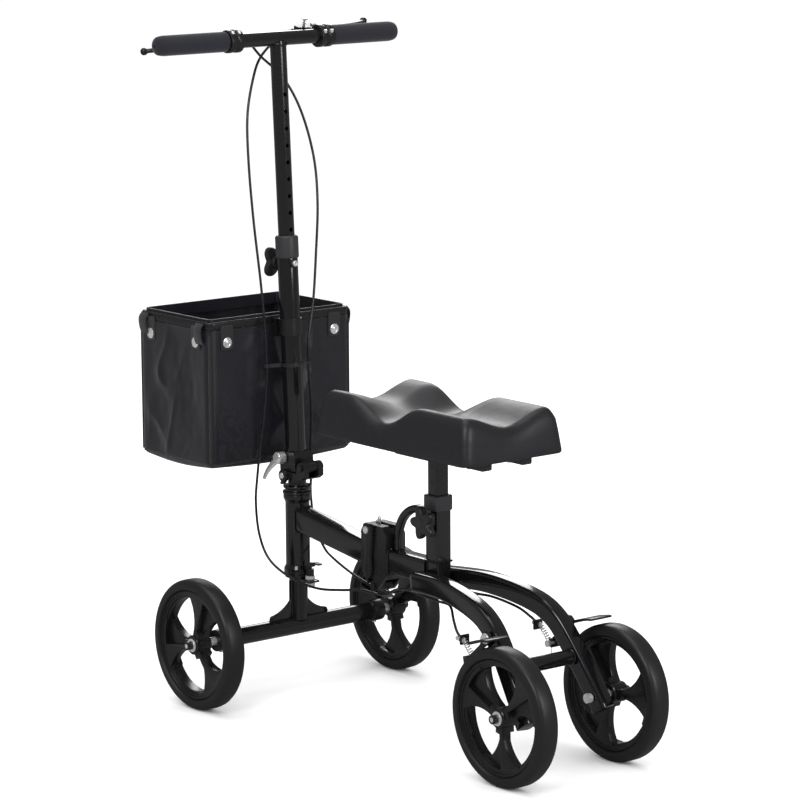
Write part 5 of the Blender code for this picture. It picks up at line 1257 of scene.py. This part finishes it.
class Seat:
    """The moulded knee pad on its rails, plate and post."""

    def __init__(self, shop: Workshop, pad: PadSizes) -> None:
        """Take the workshop and the pad's sizes."""
        self.shop, self.pad = shop, pad

    def _crown(self, u: float, v: float) -> float:
        """Share of the dip at a place on the pad: a trough along it and a saddle across it."""
        middle = (self.pad.saddle_x - self.pad.rear) / (self.pad.front - self.pad.rear)
        across = max(0.0, 1 - abs(u - middle) / 0.25)
        across = across * across * (3 - 2 * across)
        trough = max(0.0, 1 - abs(v) / 0.9)
        trough = trough * trough * (3 - 2 * trough)
        return 1 - (1 - 0.8 * across) * (1 - 0.52 * trough)

    def _plan(self, u: float, v: float, inset: float, corner: float) -> tuple[float, float]:
        """A point of a rounded rectangle in plan, from a square of -1 to 1 both ways.

        Args:
            u: place along the pad.
            v: place across it.
            inset: distance in from its edge.
            corner: corner radius.

        Returns:
            The place in millimetres.
        """
        p = self.pad
        half_x, half_y = (p.front - p.rear) / 2 - inset, p.width / 2 - inset
        x, y = u * half_x, v * half_y
        over_x, over_y = abs(x) - (half_x - corner), abs(y) - (half_y - corner)
        if over_x > 0 and over_y > 0:
            reach = math.hypot(over_x, over_y)
            scale = max(over_x, over_y) / reach
            x = math.copysign(half_x - corner + over_x * scale, x)
            y = math.copysign(half_y - corner + over_y * scale, y)
        return (p.front + p.rear) / 2 + x, y

    def pad_mesh(self) -> bpy.types.Mesh:
        """The pad's skin: a crowned top, rounded shoulders and tapered sides over a flat base."""
        p, cols, rows = self.pad, 64, 36
        bm = bmesh.new()
        grid = []
        for i in range(cols + 1):
            line = []
            for j in range(rows + 1):
                u, v = 2 * i / cols - 1, 2 * j / rows - 1
                x, y = self._plan(u, v, p.taper + 2.5, 12)
                edge = min((1 - abs(u)) * (p.front - p.rear) / 2, (1 - abs(v)) * p.width / 2)
                roll = 9 * max(0.0, 1 - edge / 13) ** 2.2
                z = p.high - p.dip * self._crown((u + 1) / 2, v) - roll
                line.append(bm.verts.new(at(x, y, z)))
            grid.append(line)
        for a, b in zip(grid, grid[1:]):
            for j in range(rows):
                bm.faces.new((a[j], b[j], b[j + 1], a[j + 1]))
        border = [(i, 0) for i in range(cols)] + [(cols, j) for j in range(rows)]
        border += [(i, rows) for i in range(cols, 0, -1)] + [(0, j) for j in range(rows, 0, -1)]
        upper = [grid[i][j] for i, j in border]
        tops = [v.co.z / MM for v in upper]
        for share, inset in ((0.12, 6.6), (0.4, 4.2), (0.7, 2.0), (0.93, 0.2), (0.98, 0.4), (1.0, 2.0)):
            ring = []
            for (i, j), top in zip(border, tops):
                x, y = self._plan(2 * i / cols - 1, 2 * j / rows - 1, inset, 13)
                ring.append(bm.verts.new(at(x, y, top + (p.low - top) * share)))
            for k, vert in enumerate(ring):
                n = (k + 1) % len(ring)
                bm.faces.new((ring[n], vert, upper[k], upper[n]))
            upper = ring
        bm.faces.new(upper)
        mesh = closed(bm)
        mesh.set_sharp_from_angle(angle=math.radians(60))
        return mesh

    def build(self) -> None:
        """Build the pad, rails, screws, plate and post."""
        shop = self.shop
        pad = shop.piece("knee_pad_skin", self.pad_mesh(), "pad_skin", "seat", ["knee_pad"])
        smooth = pad.modifiers.new("even", "SMOOTH")
        smooth.factor, smooth.iterations = 0.5, 2
        for side in (1, -1):
            rail = [at(119, side * 38, 436), at(405, side * 38, 436)]
            shop.piece("seat_rail", swept(rounded(20, 13, 2.6, 3), rail, Vector((0, 1, 0))), "black_paint", "seat",
                       bevel=0.5)
            for x in (158, 230, 330, 388):
                screw = Matrix.Translation(at(x, side * 38, 429.4))
                shop.piece("rail_screw", turned(softened([(0.4, 0.4), (5, 0.4), (3.6, -2.4), (0.4, -2.8)], 0.5), "Z",
                                                screw, 24), "zinc_steel", "seat")
        middle = Matrix.Translation(at(SEAT_X, 0, 428.7))
        shop.piece("seat_plate", block((90, 94, 4), 2, middle), "black_paint", "seat")
        post = swept(rounded(23, 23, 2.8), [at(SEAT_X, 0, 245), at(SEAT_X, 0, 427)], Vector((0, 1, 0)))
        shop.piece("seat_post_skin", post, "black_paint", "seat", ["seat_post"])
        # Dark discs on both faces of the post at two height holes: painted shade standing in for the holes' shaded
        # insides, which are not cut.
        for z in (384, 409):
            for side in (1, -1):
                dark = Matrix.Translation(at(SEAT_X, side * 11.4, z))
                shop.piece("post_hole_shade", turned(softened([(0.3, 0.15), (3.4, 0.15), (3.7, -0.3), (3.7, -1)], 0.1), "Y",
                                               dark @ Matrix.Scale(side, 4, (0, 1, 0)), 24), "cable_skin", "seat")
        ring = [at(SEAT_X + a, b, 426.4) for a, b in rounded(24.4, 24.4, 3.4, 2)]
        shop.weld("post_weld", ring, 1.8, "seat")


# ---- basket -------------------------------------------------------------------------------------
@dataclass(frozen=True)
class BasketSizes:
    """Basket sizes in millimetres."""

    rear: float = 661.0
    front: float = 849.0
    width: float = 276.0
    low: float = 361.0
    rim: float = 590.0
    corner: float = 13.0


class Basket:
    """A nylon bag hung on a flat rim, with piped corners, snapped straps and webbing loops."""

    def __init__(self, shop: Workshop, sizes: BasketSizes) -> None:
        """Take the workshop and the basket's sizes."""
        self.shop, self.s = shop, sizes

    def _ring(self, inset: float, z: float, per_side: int = 60) -> list[tuple[Vector, float, Vector]]:
        """Points round the bag with their share along a side (0 at a corner) and outward direction.

        Args:
            inset: distance in from the bag's face.
            z: height.
            per_side: points on each side.

        Returns:
            The points with their shares and directions.
        """
        s = self.s
        half_x, half_y = (s.front - s.rear) / 2 - inset, s.width / 2 - inset
        mid = (s.front + s.rear) / 2
        corner = max(1.5, s.corner - inset)
        points = []
        for sx, sy, first in ((1, -1, 270), (1, 1, 0), (-1, 1, 90), (-1, -1, 180)):
            centre = (mid + sx * (half_x - corner), sy * (half_y - corner))
            for k in range(6):
                t = math.radians(first + 90 * k / 5)
                out = Vector((math.cos(t), math.sin(t), 0))
                points.append((at(centre[0] + corner * out.x, centre[1] + corner * out.y, z), 0.0, out))
            t = math.radians(first + 90)
            out = Vector((math.cos(t), math.sin(t), 0))
            length = 2 * ((half_y if abs(out.x) > 0.5 else half_x) - corner)
            start = points[-1][0]
            way = Vector((-out.y, out.x, 0))
            for k in range(1, per_side):
                share = k / per_side
                points.append((start + way * length * share * MM, math.sin(math.pi * share), out))
        return points

    @staticmethod
    def _crease(p: Vector) -> float:
        """Height of the folds in the cloth at a place, in millimetres.

        Args:
            p: the place, in metres.

        Returns:
            The height.
        """
        run = p.x * 0.9 - p.y
        first = Vector((run + p.z * 0.8, p.z * 0.5 - run * 0.3, p.x + p.y))
        second = Vector((run * 0.8 - p.z * 0.7, p.z * 0.4 + run * 0.3, 4 + p.x - p.y))
        broad = noise.noise(first * 10)
        strength = 0.5 + 0.9 * noise.noise(second * 8 + Vector((5, 5, 5)))
        folds = max(0.0, 1 - abs(noise.noise(first * 13)) * 2.4) ** 2
        counter = max(0.0, 1 - abs(noise.noise(second * 10)) * 2.6) ** 2
        fine = noise.noise(Vector((run, p.z * 0.8, p.x)) * 55)
        return 6.0 * broad + (4.5 * folds + 4.0 * counter) * max(0.1, strength) - 0.5 + 0.8 * fine

    def _wall(self, skin: float) -> list[list[Vector]]:
        """One skin of the bag, from its rim down to the floor."""
        s = self.s
        rings = []
        levels = [(11, 0.0), (6, 0.5), (2.5, 3.0), (0.6, 8.0), (0, 14.0)]
        levels += [(0, 14 + (s.rim - 13 - s.low - 14) * k / 60) for k in range(1, 61)]
        top = s.rim - 13.5 - s.low
        for inset, up in levels:
            ring = []
            for point, share, out in self._ring(inset + skin, s.low + up + (skin if up < 1 else 0)):
                free = min(1.0, 1.5 * share) * math.sin(math.pi * min(1.0, max(0.0, up / top))) ** 0.6
                push = max(-6.5, min(5.5, self._crease(point) - 2.5)) * free
                drop = 4.5 * share * max(0.0, 1 - up / 30)
                ring.append(point + out * push * MM - Vector((0, 0, drop * MM)))
            rings.append(ring)
        return rings

    def build(self) -> None:
        """Build the bag, rim, hook, piping, straps and loops."""
        s, shop = self.s, self.shop
        outer = self._wall(0.0)
        tuck = [[p for p, _, _ in self._ring(7.2, s.rim - 13.3)], [p for p, _, _ in self._ring(7.2, s.rim + 4)],
                [p for p, _, _ in self._ring(9.0, s.rim + 4)], [p for p, _, _ in self._ring(9.0, s.rim - 15)]]
        inner = self._wall(2.0)[::-1]
        shop.piece("basket_bag_skin", mesh_of(outer + tuck + inner), "black_nylon", "basket", ["basket_bag"])
        bar = rounded(7, 13, 2.2, 3)
        rim_path = [p for p, _, _ in self._ring(3.5, s.rim - 6.5, 6)]
        rings = []
        for i, p in enumerate(rim_path):
            ahead = (rim_path[(i + 1) % len(rim_path)] - rim_path[i - 1]).normalized()
            side = Vector((ahead.y, -ahead.x, 0))
            rings.append([p + (side * a + Vector((0, 0, 1)) * b) * MM for a, b in bar])
        shop.piece("basket_rim_skin", mesh_of(rings, True), "black_cast", "basket", ["basket_rim"])
        shop.piece("rim_hook", block((3, 30, 31), 1.2, Matrix.Translation(at(s.rear - 1.8, 0, 572.5))), "black_cast",
                   "basket")
        low = [p for p, _, _ in self._ring(1.6, s.low + 6.5, 10)]
        self._piping("piping_floor", low, True)
        for sx, sy in ((1, 1), (1, -1), (-1, 1), (-1, -1)):
            x = s.front - 3.4 if sx > 0 else s.rear + 3.4
            y = sy * (s.width / 2 - 3.4)
            self._piping("piping_corner", [at(x, y, z) for z in range(int(s.low) + 8, int(s.rim) - 14, 8)], False)
            self._corner(sx, sy)

    def _piping(self, name: str, points: list[Vector], ring: bool) -> None:
        """A piped seam along some points.

        Args:
            name: the piece's name.
            points: points of the seam.
            ring: whether the seam closes on itself.
        """
        if ring:
            rings = []
            for i, p in enumerate(points):
                ahead = (points[(i + 1) % len(points)] - points[i - 1]).normalized()
                side = Vector((ahead.y, -ahead.x, 0))
                rings.append([p + (side * a + Vector((0, 0, 1)) * b) * MM for a, b in circle(2.2, 10)])
            mesh = mesh_of(rings, True)
        else:
            mesh = swept(circle(2.2, 10), points)
        self.shop.piece(name, mesh, "webbing", "basket")

    def _corner(self, sx: int, sy: int) -> None:
        """Straps folded down from the rim on both faces of a corner, each held by a snap.

        Args:
            sx: 1 for the front corners and -1 for the rear.
            sy: 1 for the left corners and -1 for the right.
        """
        s, shop = self.s, self.shop
        for along_y in (True, False):
            if along_y:
                face = s.front if sx > 0 else s.rear
                centre, out = at(face + sx * 0.6, sy * (s.width / 2 - 34), 565), Vector((sx, 0, 0))
            else:
                face = s.front - 34 if sx > 0 else s.rear + 34
                centre, out = at(face, sy * (s.width / 2 + 0.6), 565), Vector((0, sy, 0))
            turn = out.to_track_quat("Z", "Y").to_matrix().to_4x4()
            place = Matrix.Translation(centre) @ turn
            level = 0.0 if abs(turn.to_3x3()[2][1]) > 0.5 else math.pi / 2
            flap = place @ Matrix.Rotation(level, 4, "Z")
            shop.piece("strap", block((24, 38, 2.2), 5, flap), "webbing", "basket")
            snap = softened([(0.5, 0.8), (8.2, 0.8), (8.2, 1.8), (5.4, 2.6), (4.6, 2.2), (2.2, 3.0), (0.5, 3.1)], 0.5)
            button = Matrix.Translation(centre + Vector((0, 0, -0.008))) @ turn
            shop.piece("snap", turned(snap, "Z", button, 40), "chrome", "basket")
        x = (s.front + 1.5) if sx > 0 else (s.rear - 1.5)
        y = sy * (s.width / 2 + 1.6)
        loop = [at(x - sx * 22, y, 588), at(x - sx * 22, y + sy * 5.5, 580), at(x - sx * 22, y + sy * 4.5, 566),
                at(x - sx * 22, y + sy * 1, 556)]
        band = swept(rounded(20, 1.8, 0.8, 2), curve_through(loop, 3), Vector((1, 0, 0)))
        shop.piece("webbing_loop", band, "webbing", "basket")


# ---- cables -------------------------------------------------------------------------------------
class Cables:
    """Both brake cables, each in four pieces, cut where they pass from body to body."""

    RUNS = {
        "a": ((687, -36.6, 1025), (693, -22, 1015), (702, 2, 988), (706, 14, 955), (700, 30, 900), (688, 38, 830),
              (673, 41, 740), (657, 40, 640), (649, 38.5, 560), (648, 38, 530), (647.5, 38, 516), (646.8, 38, 502),
              (650, 42, 440), (654, 48, 385), (657, 52, 340), (659, 54, 300), (651, 54, 250), (630, 50, 212),
              (590, 38, 188), (540, 26, 179), (490, 18, 184), (450, 14, 191), (425, 12.5, 192), (408, 12.5, 191.5)),
        "b": ((687.5, 37.2, 1013), (696, 22, 1006), (709, -4, 988), (706, -45, 952), (692, -68, 900), (673, -77, 830),
              (655, -70, 760), (645, -58, 680), (636, -45, 610), (629, -30, 556), (627, -27, 530), (626.5, -27, 516),
              (626, -27.2, 501), (632, -36, 440), (648, -46, 375), (653, -50, 330), (654, -50, 300),
              (640, -46, 256), (600, -34, 225), (560, -24, 214), (500, -14, 202), (450, -10, 194), (425, -10, 192),
              (408, -10, 191.5)),
    }

    def __init__(self, shop: Workshop, sizes: RearFrameSizes) -> None:
        """Take the workshop and the rear frame's sizes."""
        self.shop, self.s = shop, sizes

    def build(self) -> None:
        """Sweep both cables, cut where they pass from body to body."""
        for name, run in self.RUNS.items():
            route = curve_through([at(*p) for p in run], 5)
            first = next(i for i, p in enumerate(route) if p.z < 0.528)
            second = next(i for i, p in enumerate(route) if p.z < 0.322)
            spans = (("upper", route[:first + 1], "stem", "column"),
                     ("middle", route[first:second + 1], "column", "steering"),
                     ("lower", route[second:], "steering", "front_frame"))
            for word, path, start, end in spans:
                node = "cable_" + name + "_" + word
                thing = self.shop.piece(node + "_skin", swept(circle(CABLE_R, 12), path), "cable_skin", "", [node])
                if word == "upper":
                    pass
                elif word == "middle":
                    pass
                else:
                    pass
                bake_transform(thing)
            self._rear(name)

    def _rear(self, name: str) -> None:
        """The rear piece of one cable, running to its ferrule."""
        s, side = self.s, 1 if name == "a" else -1
        y = 12.5 if side > 0 else -10.0
        x = s.pivot_x + 61
        stop = at(x, side * (s.leg_y(x) + s.leg_w / 2 + 9), s.pivot_z - 14)
        under = s.leg_top - s.leg_h / 2 - 5
        start = at(407.4, y, 191.5)
        run = [start, start + Vector((-22, side, 4)) * MM, at(352, side * 18, 210)]
        run += [at(px, side * s.leg_y(px), under) for px in (310, 270, 230, 198)]
        run += [stop + Vector((34, side * -12, 21)) * MM, stop + Vector((16, side * -3, 9)) * MM,
                stop + Vector((1.2, 0, 0)) * MM]
        node = "cable_" + name + "_rear"
        self.shop.piece(node + "_skin", swept(circle(CABLE_R, 12), curve_through(run, 5)), "cable_skin", "rear_frame",
                        [node])


# ---- studio -------------------------------------------------------------------------------------
FLOOR = 40000.0     # half width of the floor, in millimetres


class Studio:
    """Pale floor, soft lights and the camera."""

    def build(self) -> None:
        """Build the floor, the world, the lamps and the camera."""
        scene = bpy.context.scene
        sheet = [(-FLOOR, -FLOOR), (FLOOR, -FLOOR), (FLOOR, FLOOR), (-FLOOR, FLOOR)]
        floor = bpy.data.objects.new("floor", plate(sheet, -10, -0.2, flat=True))
        scene.collection.objects.link(floor)
        pale = bpy.data.materials.new("pale_floor")
        pale.use_nodes = True
        shader = pale.node_tree.nodes["Principled BSDF"]
        shader.inputs["Roughness"].default_value = 0.8
        shader.inputs["Specular IOR Level"].default_value = 0.0
        # The floor is pale to the camera but dark grey to glossy rays: painted shade in its reflections on the
        # scooter.
        seen = pale.node_tree.nodes.new("ShaderNodeLightPath")
        shade = pale.node_tree.nodes.new("ShaderNodeMix")
        shade.data_type = "RGBA"
        shade.inputs[6].default_value, shade.inputs[7].default_value = (0.95, 0.95, 0.95, 1), (0.2, 0.2, 0.2, 1)
        pale.node_tree.links.new(seen.outputs["Is Glossy Ray"], shade.inputs[0])
        pale.node_tree.links.new(shade.outputs[2], shader.inputs["Base Color"])
        floor.data.materials.append(pale)
        world = bpy.data.worlds.new("studio")
        scene.world = world
        world.use_nodes = True
        sky = world.node_tree.nodes["Background"]
        sky.inputs["Color"].default_value = (1, 1, 1, 1)
        rays = world.node_tree.nodes.new("ShaderNodeLightPath")
        dim = world.node_tree.nodes.new("ShaderNodeMapRange")
        dim.inputs["To Min"].default_value, dim.inputs["To Max"].default_value = 1.08, 0.2
        world.node_tree.links.new(rays.outputs["Is Glossy Ray"], dim.inputs["Value"])
        world.node_tree.links.new(dim.outputs["Result"], sky.inputs["Strength"])
        scene.view_settings.view_transform = "Standard"
        lamps = [self._lamp("key", (-1.6, 2.6, 2.6), 1.4, 42), self._lamp("side", (-3.2, -0.6, 1.6), 1.2, 30),
                 self._lamp("top", (0.3, 0.2, 3.2), 2.2, 26), self._lamp("rim", (2.4, -2.0, 2.0), 1.4, 30)]
        camera = bpy.data.objects.new("camera", bpy.data.cameras.new("camera"))
        camera.data.lens, camera.data.sensor_width = 157.9, 36.0
        camera.data.shift_x, camera.data.shift_y = 0.0025, -0.0114
        camera.data.clip_end = 60
        turn, rise, roll = math.radians(231.34), math.radians(10.1), math.radians(-0.35)
        back = Vector((math.sin(turn) * math.cos(rise), -math.cos(turn) * math.cos(rise), math.sin(rise)))
        right = Vector((0, 0, 1)).cross(back).normalized()
        up = back.cross(right)
        across = right * math.cos(roll) + up * math.sin(roll)
        above = up * math.cos(roll) - right * math.sin(roll)
        place = Matrix((across, above, back)).transposed().to_4x4()
        place.translation = Vector((-3.6665 - X_MID * MM, 3.2290, 1.4296))
        camera.matrix_world = place
        scene.collection.objects.link(camera)
        scene.camera = camera

    @staticmethod
    def _lamp(name: str, place: tuple[float, float, float], size: float, power: float) -> bpy.types.Object:
        """A square lamp aimed at the middle of the scooter."""
        data = bpy.data.lights.new(name, "AREA")
        data.shape, data.size, data.energy = "SQUARE", size, power
        lamp = bpy.data.objects.new(name, data)
        lamp.location = place
        lamp.rotation_euler = (Vector((0, 0, 0.45)) - Vector(place)).to_track_quat("-Z", "Y").to_euler()
        bpy.context.scene.collection.objects.link(lamp)
        return lamp


def main() -> None:
    """Build every look over the frame."""
    logging.basicConfig(level=logging.INFO, format="%(message)s")
    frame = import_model()
    paint = Paintbox()
    finish_of = {part["node"]: part["material_slot"] for part in frame["record"]["subparts"]}
    for node, thing in frame["nodes"].items():
        paint.coat(thing, finish_of[node])
        thing.data.shade_smooth()
        thing.data.set_sharp_from_angle(angle=math.radians(35))
    shop = Workshop(paint)
    rear = RearFrameSizes()
    steps: tuple[Callable[[], None], ...] = (
        RearFrame(shop, rear).build, Wheels(shop, WheelSizes()).build, FrontEnd(shop).build, Column(shop).build,
        Seat(shop, PadSizes()).build, Basket(shop, BasketSizes()).build, Cables(shop, rear).build, Studio().build)
    for step in steps:
        LOG.info("building %s", step.__qualname__)
        step()
    for node, body in CAST_PIECES.items():
        shop.skin(node, frame["nodes"][node], finish_of[node], body, 1.0)


if __name__ == "__main__":
    main()
